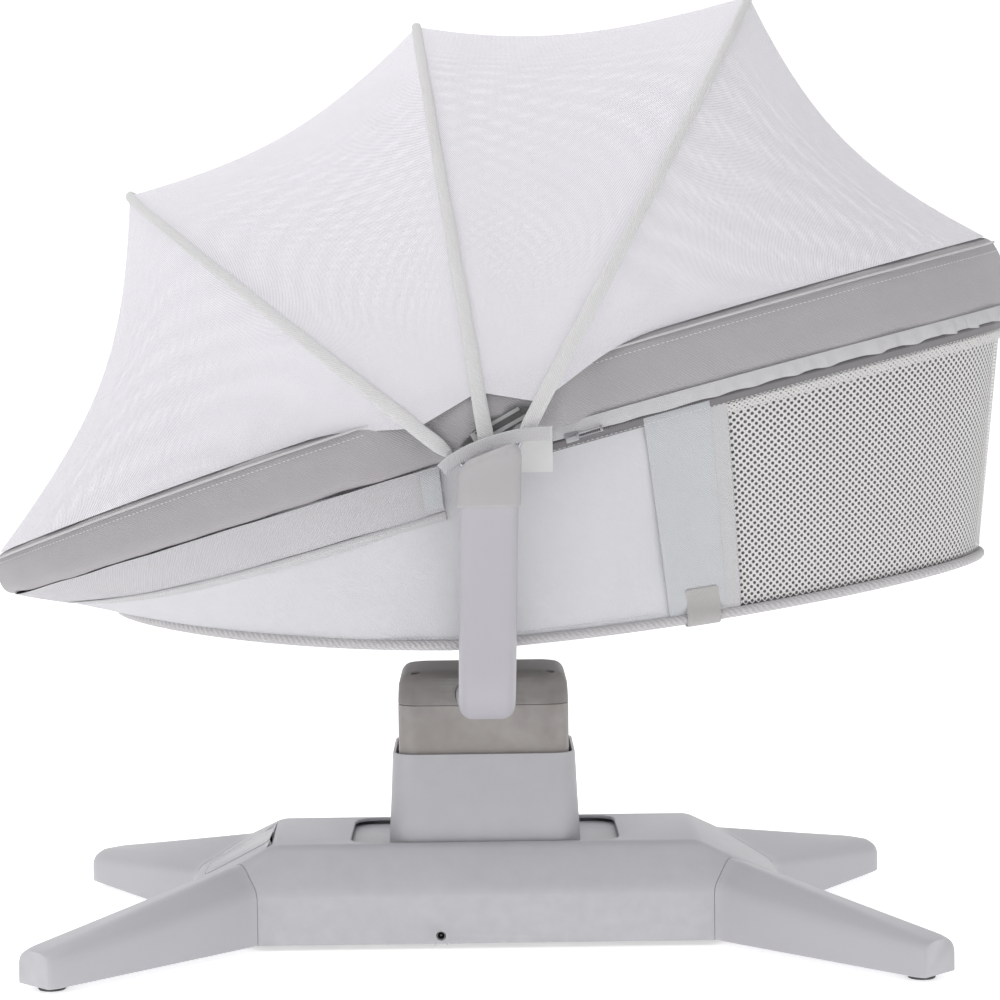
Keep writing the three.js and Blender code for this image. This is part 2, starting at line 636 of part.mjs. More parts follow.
// The leaning arm's outline between two heights, with the running gap round it.
function armBlank(z0, z1, sy) {
  const stretch = Math.sqrt(1 + ARM_LEAN * ARM_LEAN);
  const outline = ovalSection(ARM_WIDTH + 2 * GAP, ARM_THICKNESS + 2 * GAP);
  return loft([z0, z1].map((z) => outline.map(([x, across]) =>
    new THREE.Vector3(x, armPoint(z, sy).y + across * stretch, z))));
}

function hingeHead(sy) {
  const levels = [[HEAD_BOTTOM, 0], [HEAD_TOP - 12, 0], [HEAD_TOP - 4, 3], [HEAD_TOP, 9]];
  const outer = loft(levels.map(([z, inset]) => {
    const middle = HUB_X * (z - HEAD_BOTTOM) / 120;
    const outline = roundedOutline(54 - 2 * inset, 36 - inset, 11 - inset / 2);
    return outline.map(([x, across]) => new THREE.Vector3(x + middle, armPoint(z, sy).y + across, z));
  }));
  const boss = cylinderY(21, sy * HEAD_INNER_Y, sy * 280, HUB_X, HUB_Z + 8, 32);
  const trimmed = cut(join(outer, boss), box(-60, 60, 0, sy * HEAD_INNER_Y, 380, 480));
  const socket = armBlank(HEAD_BOTTOM - 5, HEAD_BOTTOM + 38, sy);
  const pinHole = cylinderY(HUB_PIN_RADIUS + GAP, sy * 240, sy * 257, HUB_X, HUB_Z);
  return cut(trimmed, socket, pinHole);
}

function hubPin(sy) {
  const shank = cylinderY(HUB_PIN_RADIUS, sy * 226, sy * 254.5, HUB_X, HUB_Z);
  const flange = cylinderY(9, sy * 223, sy * 226.5, HUB_X, HUB_Z);
  return join(shank, flange);
}

// ---- Bassinet -----------------------------------------------------------------------------------
const RIM_ALONG = new THREE.Vector3(Math.cos(RIM_TILT), 0, Math.sin(RIM_TILT));
const RIM_NORMAL = new THREE.Vector3(-Math.sin(RIM_TILT), 0, Math.cos(RIM_TILT));
const RIM_CENTRE = new THREE.Vector3(HUB_X, 0, HUB_Z).addScaledVector(RIM_NORMAL, RIM_OFFSET);
const STATIONS = 48;
const WINDOW_ANGLE = THREE.MathUtils.degToRad(68.5);

// An egg outline: blunter at the head end. The angle runs from the head tip over the far side.
function egg(angle, halfWidth, foot, head) {
  const [c, s] = [Math.cos(angle), Math.sin(angle)];
  const power = c >= 0 ? 2.5 : 2.15;
  const along = (c >= 0 ? head : foot) * Math.sign(c) * Math.abs(c) ** (2 / power);
  return [along, halfWidth * Math.sign(s) * Math.abs(s) ** (2 / power)];
}

function rimHeight(along) {
  const share = THREE.MathUtils.clamp((along + RIM_FOOT) / (RIM_FOOT + RIM_HEAD), 0, 1);
  return RIM_FOOT_HEIGHT + (RIM_HEAD_HEIGHT - RIM_FOOT_HEIGHT) * share ** 0.6;
}

function rimPoint(angle, inset, lift) {
  const [along, across] = egg(angle, RIM_HALF_WIDTH - inset, RIM_FOOT - inset, RIM_HEAD - inset);
  const arch = RIM_ARCH * (1 - (along / (along < 0 ? RIM_FOOT : RIM_HEAD)) ** 2);
  const point = RIM_CENTRE.clone().addScaledVector(RIM_ALONG, along);
  point.addScaledVector(RIM_NORMAL, lift(along) + arch);
  point.y = across;
  return point;
}

// Stations lie in mirrored pairs, half a step off the head tip.
function stationAngles(count) {
  return Array.from({ length: count }, (_, index) => (index + 0.5) * 2 * Math.PI / count);
}

function rimSweep(sectionAt, count) {
  return loft(stationAngles(count).map((angle) => {
    const [along] = egg(angle, RIM_HALF_WIDTH, RIM_FOOT, RIM_HEAD);
    return sectionAt(rimHeight(along) / 2).map(([out, up]) => rimPoint(angle, RIM_PAD_HALF - out, () => up));
  }), true);
}

function rimTube(radius) {
  return rimSweep(() => circle(radius, 8), STATIONS);
}

function padSection(half) {
  const wide = RIM_PAD_HALF;
  const slot = RIM_TUBE_RADIUS + 0.8;
  const outside = [[slot, -half], [wide - 5, -half], [wide, 6 - half], [wide, half - 8], [wide - 6, half],
    [6 - wide, half], [-wide, half - 8], [-wide, 6 - half], [5 - wide, -half], [-slot, -half]];
  return [...outside, [-slot, 4], [-5, slot], [5, slot], [slot, 4]];
}

function floorHeight(x) {
  const from = x - HUB_X + 42;
  const rise = from < 0 ? 21.5 * (from / -(FLOOR_FOOT - 42)) ** 2 : 64.5 * (from / (FLOOR_HEAD + 42)) ** 1.4;
  return FLOOR_LOW + rise;
}

function floorPoint(angle, inset, lift) {
  const [along, across] = egg(angle, FLOOR_HALF_WIDTH - inset, FLOOR_FOOT - inset, FLOOR_HEAD - inset);
  return new THREE.Vector3(HUB_X + along, across, floorHeight(HUB_X + along) + lift);
}

function wallTop(angle, inset) {
  return rimPoint(angle, 12 + inset, (along) => -rimHeight(along) / 2 - 1.5);
}

function wallPoint(angle, share, inset) {
  return wallTop(angle, inset).lerp(floorPoint(angle, inset, 0), share);
}

function wallPatch(angles, shares, outside, inside) {
  const grid = (inset) => angles.map((angle) => shares.map((share) => wallPoint(angle, share, inset)));
  return slab(grid(outside), grid(inside));
}

function spread(from, to, count) {
  return Array.from({ length: count + 1 }, (_, index) => from + (to - from) * index / count);
}

function basketShell() {
  const angles = stationAngles(STATIONS);
  const outer = loft([0, 0.5, 1].map((share) => angles.map((angle) => wallPoint(angle, share, 0))));
  const inner = loft([
    angles.map((angle) => wallTop(angle, FABRIC).addScaledVector(RIM_NORMAL, 3)),
    angles.map((angle) => wallPoint(angle, 0.5, FABRIC)),
    angles.map((angle) => floorPoint(angle, FABRIC, FABRIC)),
  ]);
  const window = wallPatch(spread(-WINDOW_ANGLE - 0.01, WINDOW_ANGLE + 0.01, 20), [0.09, 0.5, 0.94], -8, 12);
  return cut(outer, inner, window);
}

function floorSlab(inset, low, high) {
  const angles = stationAngles(STATIONS);
  return loft([low, high].map((lift) => angles.map((angle) => floorPoint(angle, inset, lift))));
}

function bassinet() {
  add('rim_frame', rimTube(RIM_TUBE_RADIUS), steel);
  const notchY = BRACKET_Y - CLAMP_WIDTH - 2;
  const notches = [-1, 1].map((sy) =>
    box(HUB_X - 24, HUB_X + 26, sy * notchY, sy * 260, HUB_Z - 4, CLAMP_TOP + 2));
  add('rim_pad', cut(rimSweep(padSection, STATIONS), ...notches), twill);
  add('basket_shell', basketShell(), sidePanelCloth);
  const windowAngles = spread(-WINDOW_ANGLE + 0.004, WINDOW_ANGLE - 0.004, 20);
  add('mesh_window', wallPatch(windowAngles, [0.1, 0.5, 0.93], 0.5, 2.5), meshCloth);
  add('base_board', floorSlab(12, FABRIC + 1, FABRIC + 4), whitePlastic);
  add('mattress', floorSlab(16, FABRIC + 5, FABRIC + 5 + MATTRESS_THICKNESS), mattressCloth);
  for (const [side, sy] of [['near', -1], ['far', 1]]) {
    const strapAngles = spread(sy * 1.205, sy * 1.278, 2);
    add(`strap_${side}`, wallPatch(strapAngles, [0.8, 0.97], -2.6, -0.8), webbing);
    add(`hub_bracket_${side}`, hubBracket(sy), whitePlastic);
  }
  add('zipper_slider', zipperSlider(), zinc);
}

// The plate that hangs the rim on the hub pin: a lug round the pin, and a clamp round the rim tube.
function hubBracket(sy) {
  const plateY = [sy * (BRACKET_Y - WALL), sy * BRACKET_Y];
  const clampY = [sy * (BRACKET_Y - CLAMP_WIDTH), sy * (BRACKET_Y - 0.5)];
  const plate = box(HUB_X - 16, HUB_X + 50, ...plateY, HUB_Z + 14, CLAMP_TOP - 2);
  const lug = cylinderY(14, ...plateY, HUB_X, HUB_Z, 24);
  const neck = box(HUB_X - 13, HUB_X + 13, ...plateY, HUB_Z, HUB_Z + 20);
  const clamp = box(HUB_X - 20, HUB_X + 22, ...clampY, CLAMP_BOTTOM, CLAMP_TOP);
  const tube = rimTube(RIM_TUBE_RADIUS + 0.5);
  const pinHole = cylinderY(HUB_PIN_RADIUS + 0.1, sy * 220, sy * 240, HUB_X, HUB_Z);
  return cut(join(plate, lug, neck, clamp), tube, pinHole);
}

function zipperSlider() {
  const at = rimPoint(THREE.MathUtils.degToRad(-84.6), 2, (along) => -rimHeight(along) / 2 - 9);
  const body = box(-5, 5, -2.6, 2.6, -3.5, 3.5);
  const pull = box(4, 26, -3, -1.8, -2.2, 2.2);
  return join(body, pull).rotateY(-RIM_TILT).translate(at.x, at.y, at.z);
}

// ---- Canopy -------------------------------------------------------------------------------------
class BowCurve extends THREE.Curve {
  constructor(index) {
    super();
    this.index = index;
  }

  getPoint(t) {
    const start = bowAngleAt(this.index, BOW_ROOT);
    return bowPoint(this.index, start + (Math.PI - 2 * start) * t);
  }
}

// The bow angle, on the near side, at a distance from the hub axis.
function bowAngleAt(index, distance) {
  return Math.asin((distance / BOW_HEIGHTS[index]) ** (BOW_POWER / 2));
}

// A point on a bow's centre line: angle 0 is its near end, pi its far end.
function bowPoint(index, angle) {
  const half = BOW_FIRST_Y + index * BOW_PITCH;
  const power = 2 / BOW_POWER;
  const across = -half * Math.sign(Math.cos(angle)) * Math.abs(Math.cos(angle)) ** power;
  const out = BOW_HEIGHTS[index] * Math.abs(Math.sin(angle)) ** power;
  const turn = THREE.MathUtils.degToRad(BOW_ANGLES[index]);
  return new THREE.Vector3(HUB_X + out * Math.cos(turn), across, HUB_Z + out * Math.sin(turn));
}

function bow(index) {
  const turn = THREE.MathUtils.degToRad(BOW_ANGLES[index]);
  const pieces = [swept(shapeOf(circle(BOW_RADIUS, 6)), new BowCurve(index), 24)];
  for (const sy of [-1, 1]) {
    const middle = sy * (BOW_FIRST_Y + index * BOW_PITCH);
    const reach = box(0, BOW_ROOT + 6, -2.4, 2.4, -4, 4).rotateY(-turn).translate(HUB_X, middle, HUB_Z);
    pieces.push(reach, cylinderY(12, middle - 2.4, middle + 2.4, HUB_X, HUB_Z, 16));
  }
  const hole = cylinderY(HUB_PIN_RADIUS + 0.2, -300, 300, HUB_X, HUB_Z, 12);
  return cut(join(...pieces), hole);
}

const HUB = new THREE.Vector3(HUB_X, 0, HUB_Z);

// A net panel between two edge curves, pulled in between them as taut net is.
function netPanel(first, second, sag) {
  const across = spread(0, 1, 14);
  const outside = across.map((t) => {
    const a = first(t);
    const b = second(t);
    const clear = 6 / a.distanceTo(b);
    return spread(clear, 1 - clear, 4).map((share) => {
      const point = a.clone().lerp(b, share);
      const pull = 4 * share * (1 - share) * sag * Math.sin(Math.PI * t);
      const inward = HUB.clone().sub(point).normalize();
      return point.addScaledVector(inward, pull);
    });
  });
  const inside = outside.map((row) => row.map((point) => point.clone().lerp(HUB, 0.003)));
  return slab(outside, inside);
}

function bowEdge(index) {
  const start = bowAngleAt(index, NET_START);
  return (t) => bowPoint(index, start + (Math.PI - 2 * start) * t);
}

function rimEdge(fromDegrees, toDegrees) {
  return (t) => rimPoint(THREE.MathUtils.degToRad(fromDegrees + (toDegrees - fromDegrees) * t), 2,
    (along) => rimHeight(along) / 2 + 3);
}

function canopy() {
  BOW_ANGLES.forEach((_, index) => add(`bow_${index + 1}`, bow(index), steel));
  add('net_foot', netPanel(rimEdge(-104, -256), bowEdge(0), NET_SAG[0]), netCloth);
  add('net_middle_foot', netPanel(bowEdge(0), bowEdge(1), NET_SAG[1]), netCloth);
  add('net_middle_head', netPanel(bowEdge(1), bowEdge(2), NET_SAG[2]), netCloth);
  add('net_head', netPanel(bowEdge(2), rimEdge(-78, 78), NET_SAG[3]), netCloth);
}

base();
drive();
tower();
yoke();
bassinet();
canopy();

const bounds = new THREE.Box3().setFromObject(assembly);
assembly.position.x = -(bounds.min.x + bounds.max.x) / 2;

export default assembly;
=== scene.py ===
import math

import bmesh
import bpy
import numpy as np
from mathutils import Matrix, Vector, noise


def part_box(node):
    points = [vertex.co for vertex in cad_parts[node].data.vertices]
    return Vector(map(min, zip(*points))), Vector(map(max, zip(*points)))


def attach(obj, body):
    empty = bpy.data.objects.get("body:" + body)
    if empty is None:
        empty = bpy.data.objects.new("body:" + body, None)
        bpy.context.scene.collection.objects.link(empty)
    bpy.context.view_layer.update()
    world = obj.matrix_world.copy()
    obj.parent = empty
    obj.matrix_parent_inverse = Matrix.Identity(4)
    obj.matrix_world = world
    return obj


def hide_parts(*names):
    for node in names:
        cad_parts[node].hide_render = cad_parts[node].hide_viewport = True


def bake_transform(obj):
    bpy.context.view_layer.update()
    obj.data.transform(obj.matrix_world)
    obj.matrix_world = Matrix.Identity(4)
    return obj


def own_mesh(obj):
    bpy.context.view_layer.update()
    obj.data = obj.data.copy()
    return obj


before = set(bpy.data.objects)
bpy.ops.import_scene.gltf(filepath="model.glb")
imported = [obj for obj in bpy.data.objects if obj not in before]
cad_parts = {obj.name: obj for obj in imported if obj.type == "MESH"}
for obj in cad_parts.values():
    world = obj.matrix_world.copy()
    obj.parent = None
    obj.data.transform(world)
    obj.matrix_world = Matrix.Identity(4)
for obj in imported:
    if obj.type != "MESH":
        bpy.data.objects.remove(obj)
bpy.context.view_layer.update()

# ---- Camera ----------------------------------------------------------------------------------------
# A long lens square to the swing's long side, a little above the hub, turned under one degree.
base_low, base_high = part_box("base_shell")
centre_x = (base_low.x + base_high.x) / 2
CAMERA_BACK, CAMERA_HEIGHT = 2.62, 0.5425
CAMERA_PITCH, CAMERA_ROLL = math.radians(90 - 3.06), math.radians(-0.77)
camera_data = bpy.data.cameras.new("camera")
camera_data.lens = 100.98
camera_data.sensor_width = 36
camera_data.shift_x = 0.0195
camera_data.clip_end = 30
camera = bpy.data.objects.new("camera", camera_data)
camera.matrix_world = (Matrix.Translation((centre_x, -CAMERA_BACK, CAMERA_HEIGHT))
                       @ Matrix.Rotation(CAMERA_PITCH, 4, "X") @ Matrix.Rotation(CAMERA_ROLL, 4, "Z"))
bpy.context.scene.collection.objects.link(camera)
bpy.context.scene.camera = camera


# ---- Studio ----------------------------------------------------------------------------------------
# A white paper sweep for floor and backdrop, lit from behind, in a bright room with a large soft
# light overhead and weaker ones from the left and the right.
def new_material(name):
    material = bpy.data.materials.new(name)
    material.use_nodes = True
    return material, material.node_tree, material.node_tree.nodes["Principled BSDF"]


def mesh_object(name, points, faces, material, smooth=True):
    mesh = bpy.data.meshes.new(name)
    mesh.from_pydata([tuple(point) for point in points], [], faces)
    mesh.update()
    mesh.polygons.foreach_set("use_smooth", [smooth] * len(mesh.polygons))
    piece = bpy.data.objects.new(name, mesh)
    mesh.materials.append(material)
    bpy.context.scene.collection.objects.link(piece)
    return piece


PAPER_GLOW, ROOM_LIGHT = 0.52, 0.44
paper_material, _, paper_shader = new_material("studio_paper")
paper_shader.inputs["Base Color"].default_value = (0.93, 0.93, 0.93, 1)
paper_shader.inputs["Roughness"].default_value = 0.9
paper_shader.inputs["Emission Color"].default_value = (1, 1, 1, 1)
paper_shader.inputs["Emission Strength"].default_value = PAPER_GLOW
SWEEP_FRONT, SWEEP_BACK, SWEEP_RADIUS, SWEEP_TOP = -6, 3.2, 1.5, 7
sweep = [(SWEEP_FRONT, 0), (SWEEP_BACK, 0)]
for turn in np.linspace(0.1, math.pi / 2, 12):
    sweep.append((SWEEP_BACK + SWEEP_RADIUS * math.sin(turn), SWEEP_RADIUS - SWEEP_RADIUS * math.cos(turn)))
sweep.append((SWEEP_BACK + SWEEP_RADIUS, SWEEP_TOP))
sweep_points = [(x, y, z) for y, z in sweep for x in (-8, 8)]
sweep_faces = [(2 * i, 2 * i + 1, 2 * i + 3, 2 * i + 2) for i in range(len(sweep) - 1)]
mesh_object("studio_paper", sweep_points, sweep_faces, paper_material)

room = bpy.data.worlds.new("room")
room.use_nodes = True
room.node_tree.nodes["Background"].inputs["Color"].default_value = (1, 1, 1, 1)
room.node_tree.nodes["Background"].inputs["Strength"].default_value = ROOM_LIGHT
bpy.context.scene.world = room
bpy.context.scene.view_settings.view_transform = "Standard"


def soft_light(name, place, size, power):
    light = bpy.data.lights.new(name, "AREA")
    light.shape = "RECTANGLE"
    light.size, light.size_y = size
    light.energy = power
    lamp = bpy.data.objects.new(name, light)
    lamp.location = place
    lamp.rotation_euler = (Vector((0, 0, 0.42)) - Vector(place)).to_track_quat("-Z", "Y").to_euler()
    bpy.context.scene.collection.objects.link(lamp)


soft_light("overhead_softbox", (-0.5, -0.4, 2.6), (2.2, 1.6), 22)
soft_light("left_softbox", (-2.4, -1.6, 1.3), (1.4, 1.8), 12)
soft_light("right_softbox", (2.3, -1.9, 1.1), (1.2, 1.6), 9)


# ---- Moulded plastic -------------------------------------------------------------------------------
# Every casing is injection-moulded with a fine spark-eroded grain, slightly burnished on its edges.
# One shader group gives the grain, the cloudiness of the moulding and the edge wear.
def plug(tree, value, socket):
    if isinstance(value, bpy.types.NodeSocket):
        tree.links.new(value, socket)
    else:
        socket.default_value = value


def maths(tree, operation, *values):
    node = tree.nodes.new("ShaderNodeMath")
    node.operation = operation
    for index, value in enumerate(values):
        plug(tree, value, node.inputs[index])
    return node.outputs[0]


def mix_colour(tree, factor, first, second):
    node = tree.nodes.new("ShaderNodeMix")
    node.data_type = "RGBA"
    for index, value in ((0, factor), (6, first), (7, second)):
        plug(tree, value, node.inputs[index])
    return node.outputs[2]


def remap(tree, value, low, high, to_low, to_high):
    node = tree.nodes.new("ShaderNodeMapRange")
    for index, number in enumerate((value, low, high, to_low, to_high)):
        plug(tree, number, node.inputs[index])
    return node.outputs[0]


def scaled_colour(tree, colour, factor):
    node = tree.nodes.new("ShaderNodeVectorMath")
    node.operation = "SCALE"
    plug(tree, colour, node.inputs[0])
    plug(tree, factor, node.inputs["Scale"])
    return node.outputs[0]


def noise_value(tree, vector, scale, detail=2.0):
    node = tree.nodes.new("ShaderNodeTexNoise")
    plug(tree, vector, node.inputs["Vector"])
    plug(tree, scale, node.inputs["Scale"])
    node.inputs["Detail"].default_value = detail
    return node.outputs["Fac"]


def effect_group(name, inputs, outputs):
    tree = bpy.data.node_groups.new(name, "ShaderNodeTree")
    for direction, sockets in (("INPUT", inputs), ("OUTPUT", outputs)):
        for title, kind in sockets:
            tree.interface.new_socket(name=title, in_out=direction, socket_type="NodeSocket" + kind)
    return tree, tree.nodes.new("NodeGroupInput").outputs, tree.nodes.new("NodeGroupOutput").inputs


WORN_COLOUR = (0.86, 0.86, 0.87, 1)
moulded, given, result = effect_group(
    "moulded_surface", [("Colour", "Color"), ("Roughness", "Float"), ("Grain", "Float"), ("Wear", "Float")],
    [("Colour", "Color"), ("Roughness", "Float"), ("Height", "Float")])
place = moulded.nodes.new("ShaderNodeTexCoord").outputs["Object"]
grain = noise_value(moulded, place, maths(moulded, "DIVIDE", 1.0, given["Grain"]))
cloud = noise_value(moulded, place, 9.0, 3.0)
scuff = noise_value(moulded, place, 70.0, 4.0)
edge_sign = moulded.nodes.new("ShaderNodeNewGeometry").outputs["Pointiness"]
pointed = remap(moulded, edge_sign, 0.51, 0.58, 0.0, 1.0)
worn = maths(moulded, "MULTIPLY", maths(moulded, "MULTIPLY", pointed, scuff), given["Wear"])
shade = maths(moulded, "MULTIPLY", remap(moulded, cloud, 0, 1, 0.955, 1.045),
              remap(moulded, grain, 0, 1, 0.975, 1.025))
clean = scaled_colour(moulded, given["Colour"], shade)
plug(moulded, mix_colour(moulded, worn, clean, WORN_COLOUR), result["Colour"])
gloss = maths(moulded, "MULTIPLY_ADD", worn, -0.25, given["Roughness"])
plug(moulded, maths(moulded, "MULTIPLY_ADD", cloud, 0.1, gloss), result["Roughness"])
plug(moulded, grain, result["Height"])


def effect_material(name, group, values, bump, **settings):
    """A material whose colour, roughness and bump come from one effect group."""
    material, tree, shader = new_material(name)
    effect = tree.nodes.new("ShaderNodeGroup")
    effect.node_tree = group
    for key, value in values.items():
        effect.inputs[key].default_value = value
    tree.links.new(effect.outputs["Colour"], shader.inputs["Base Color"])
    tree.links.new(effect.outputs["Roughness"], shader.inputs["Roughness"])
    if "Alpha" in effect.outputs:
        tree.links.new(effect.outputs["Alpha"], shader.inputs["Alpha"])
    bumped = tree.nodes.new("ShaderNodeBump")
    bumped.inputs["Distance"].default_value = bump
    bumped.inputs["Strength"].default_value = 0.6
    tree.links.new(effect.outputs["Height"], bumped.inputs["Height"])
    tree.links.new(bumped.outputs["Normal"], shader.inputs["Normal"])
    for key, value in settings.items():
        shader.inputs[key].default_value = value
    return material


def linear(red, green, blue):
    """A paint-chart colour, 0 to 255, as the shader's own linear values."""
    return tuple((channel / 255) ** 2.2 for channel in (red, green, blue)) + (1,)


def plastic(name, colour, roughness=0.42, grain=0.0009, wear=0.35, bump=0.00012):
    values = {"Colour": linear(*colour), "Roughness": roughness, "Grain": grain, "Wear": wear}
    return effect_material(name, moulded, values, bump)


# ---- Base housing ----------------------------------------------------------------------------------
# The long housing in the middle of the base, moulded in light grey: soft outer corners, a rounded
# slot that the drive runs in, and a pocket on the foot-end slope for the control panel.
SIDES = (("near", -1), ("far", 1))
base_plastic = plastic("base_plastic", (187, 186, 191))
seam_normal = Vector((0.712, 0.702))
SEAM_DISTANCE = 0.2176


def dressed(piece, slot, body, *nodes):
    """Puts a piece on its body, in place of the CAD nodes it stands for. The slot, naming its finish, is not
    used.
    """
    if nodes:
        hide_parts(*nodes)
    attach(piece, body)
    return piece


def merged_copy(node, name, material):
    """A copy of a CAD node with its loose triangles joined and its flat faces made whole."""
    work = bmesh.new()
    work.from_mesh(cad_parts[node].data)
    bmesh.ops.remove_doubles(work, verts=work.verts, dist=2e-6)
    bmesh.ops.dissolve_limit(work, angle_limit=math.radians(0.8), verts=work.verts, edges=work.edges)
    mesh = bpy.data.meshes.new(name)
    piece = bpy.data.objects.new(name, mesh)
    mesh.materials.append(material)
    bpy.context.scene.collection.objects.link(piece)
    return piece, work


def finish_copy(piece, work, angle=35):
    work.to_mesh(piece.data)
    work.free()
    piece.data.polygons.foreach_set("use_smooth", [True] * len(piece.data.polygons))
    piece.data.set_sharp_from_angle(angle=math.radians(angle))
    return piece


def soften(work, chosen, width, segments=3):
    edges = [edge for edge in work.edges if len(edge.link_faces) == 2 and chosen(edge)]
    bmesh.ops.bevel(work, geom=edges, offset=width, offset_type="OFFSET", segments=segments, profile=0.5,
                    affect="EDGES", clamp_overlap=False)


def edge_middle(edge):
    return (edge.verts[0].co + edge.verts[1].co) / 2


def on_base_outside(edge):
    middle = edge_middle(edge)
    away = middle - Vector((centre_x, 0, 0.04))
    flat = Vector((abs(away.x), abs(away.y)))
    if flat.dot(seam_normal) > SEAM_DISTANCE - 0.0006 or edge.calc_length() < 0.03 or middle.z < 0.02:
        return False
    return edge.calc_face_angle() > 0.12 and all(face.normal.dot(away) > 0.02 for face in edge.link_faces)


def on_slot_rim(edge):
    middle = edge_middle(edge)
    return (middle.z > base_high.z - 2e-4 and abs(middle.x - centre_x) < 0.1245 and abs(middle.y) < 0.0705
            and edge.calc_face_angle() > 1)


base_housing, work = merged_copy("base_shell", "base_housing", base_plastic)
soften(work, on_slot_rim, 0.0014, 3)
soften(work, on_base_outside, 0.0055, 4)
finish_copy(base_housing, work, 28)
dressed(base_housing, "base_plastic", "base", "base_shell")

dark_plastic = plastic("dark_plastic", (46, 46, 49), 0.45)
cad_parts["bottom_cover"].data.materials.clear()
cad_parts["bottom_cover"].data.materials.append(dark_plastic)


# ---- Legs ------------------------------------------------------------------------------------------
# Four splayed legs, plugged on spigots at the housing's corners. Each is one moulding that melts from
# the housing's outline into a low rounded toe.
leg_root = Vector((0.2405, 0.066))
leg_toe = Vector((0.387, 0.250))
ROOT_SECTION = [(-47.5, 5), (-47.5, 54), (-37, 66.5), (-27, 79), (0, 69.8), (24, 61), (47.5, 52.7), (47.5, 5)]
LEG_REACH = np.array([1.5, 8, 8, 8, 8, 8, 8, 1.5])
TOE_SECTION = [(-25, 5), (-25, 29), (-22, 33.5), (-12, 36), (0, 36), (12, 36), (25, 29), (25, 5)]


def rounded(points, reach):
    """Rounds each corner of a closed outline, from that far before it to that far after it."""
    ends = []
    for beside in (np.roll(points, 1, axis=0), np.roll(points, -1, axis=0)):
        way = beside - points
        length = np.linalg.norm(way, axis=1)[:, None]
        ends.append(points + way / length * np.minimum(reach[:, None], 0.45 * length))
    curve = [(1 - t) ** 2 * ends[0] + 2 * t * (1 - t) * points + t * t * ends[1] for t in np.linspace(0, 1,
                                                                                                      6)]
    return np.stack(curve, axis=1).reshape(-1, 2)


def tube_faces(rings, around, endless=False, caps=True):
    faces = []
    last = rings if endless else rings - 1
    for ring in range(last):
        following = (ring + 1) % rings
        for side in range(around):
            beside = (side + 1) % around
            faces.append((ring * around + side, ring * around + beside, following * around + beside,
                          following * around + side))
    if caps and not endless:
        faces.append(tuple(reversed(range(around))))
        faces.append(tuple(range((rings - 1) * around, rings * around)))
    return faces


def tube_object(name, rings, material, endless=False, caps=True, sharp=None):
    """A closed skin over a list of rings of points, its faces turned outwards."""
    rings = np.array(rings, float)
    piece = mesh_object(name, rings.reshape(-1, 3), tube_faces(len(rings), rings.shape[1], endless, caps),
                        material)
    reworked(piece, outwards)
    if sharp:
        piece.data.set_sharp_from_angle(angle=math.radians(sharp))
    return piece


def reworked(piece, *changes):
    """Runs each change on a piece's mesh."""
    work = bmesh.new()
    work.from_mesh(piece.data)
    for change in changes:
        change(work)
    work.to_mesh(piece.data)
    work.free()
    return piece


def outwards(work):
    bmesh.ops.recalc_face_normals(work, faces=work.faces)


def close_holes(work):
    bmesh.ops.holes_fill(work, edges=work.edges)


def join_points(distance):
    return lambda work: bmesh.ops.remove_doubles(work, verts=work.verts, dist=distance)


def drop_slivers(work):
    bmesh.ops.dissolve_degenerate(work, edges=work.edges, dist=1e-7)


def leg_ring(share, pull):
    across_way = np.array([math.sqrt(0.5), -math.sqrt(0.5)])
    centre = np.array(leg_root.lerp(leg_toe, share))
    mixed = np.array(ROOT_SECTION, float) * (1 - share) + np.array(TOE_SECTION, float) * share
    mixed[:, 0] = np.sign(mixed[:, 0]) * np.maximum(np.abs(mixed[:, 0]) - pull, 0.5)
    mixed[1:-1, 1] -= pull / 3
    mixed = rounded(mixed, LEG_REACH)
    mixed[:, 1] = np.maximum(mixed[:, 1], 5)
    ring = np.zeros((len(mixed), 3))
    ring[:, :2] = centre + mixed[:, :1] / 1000 * across_way
    ring[:, 2] = mixed[:, 1] / 1000
    return ring


def leg(name, side_x, side_y):
    shares = list(np.linspace(0.004, 0.93, 22)) + [0.95, 0.965, 0.978, 0.988, 0.995, 1.0]
    toe_turn = np.clip((np.array(shares) - 0.93) / 0.07, 0, 1)
    pulls = 4.5 * (1 - np.sqrt(1 - toe_turn ** 2 * 0.98))
    rings = np.array([leg_ring(share, pull) for share, pull in zip(shares, pulls)])
    rings[:, :, 0] = centre_x + side_x * rings[:, :, 0]
    rings[:, :, 1] *= side_y
    return tube_object(name, rings, base_plastic, sharp=50)


for corner, side_x, side_y in (("foot_near", -1, -1), ("foot_far", -1, 1), ("head_near", 1, -1),
                               ("head_far", 1, 1)):
    piece = leg(f"leg_moulding_{corner}", side_x, side_y)
    dressed(piece, "base_plastic", "base", f"leg_{corner}")


# ---- Foot pads -------------------------------------------------------------------------------------
# Four round rubber pads pressed into the legs' toes, with a shallow rim against the floor.
pad_rubber = plastic("pad_rubber", (62, 62, 64), 0.8, 0.0005, 0.1, 0.0002)
PAD_PROFILE = [(0, 0.4), (8.6, 0.4), (9.2, 0), (11.2, 0), (12, 0.8), (12, 4.7), (0, 4.7)]


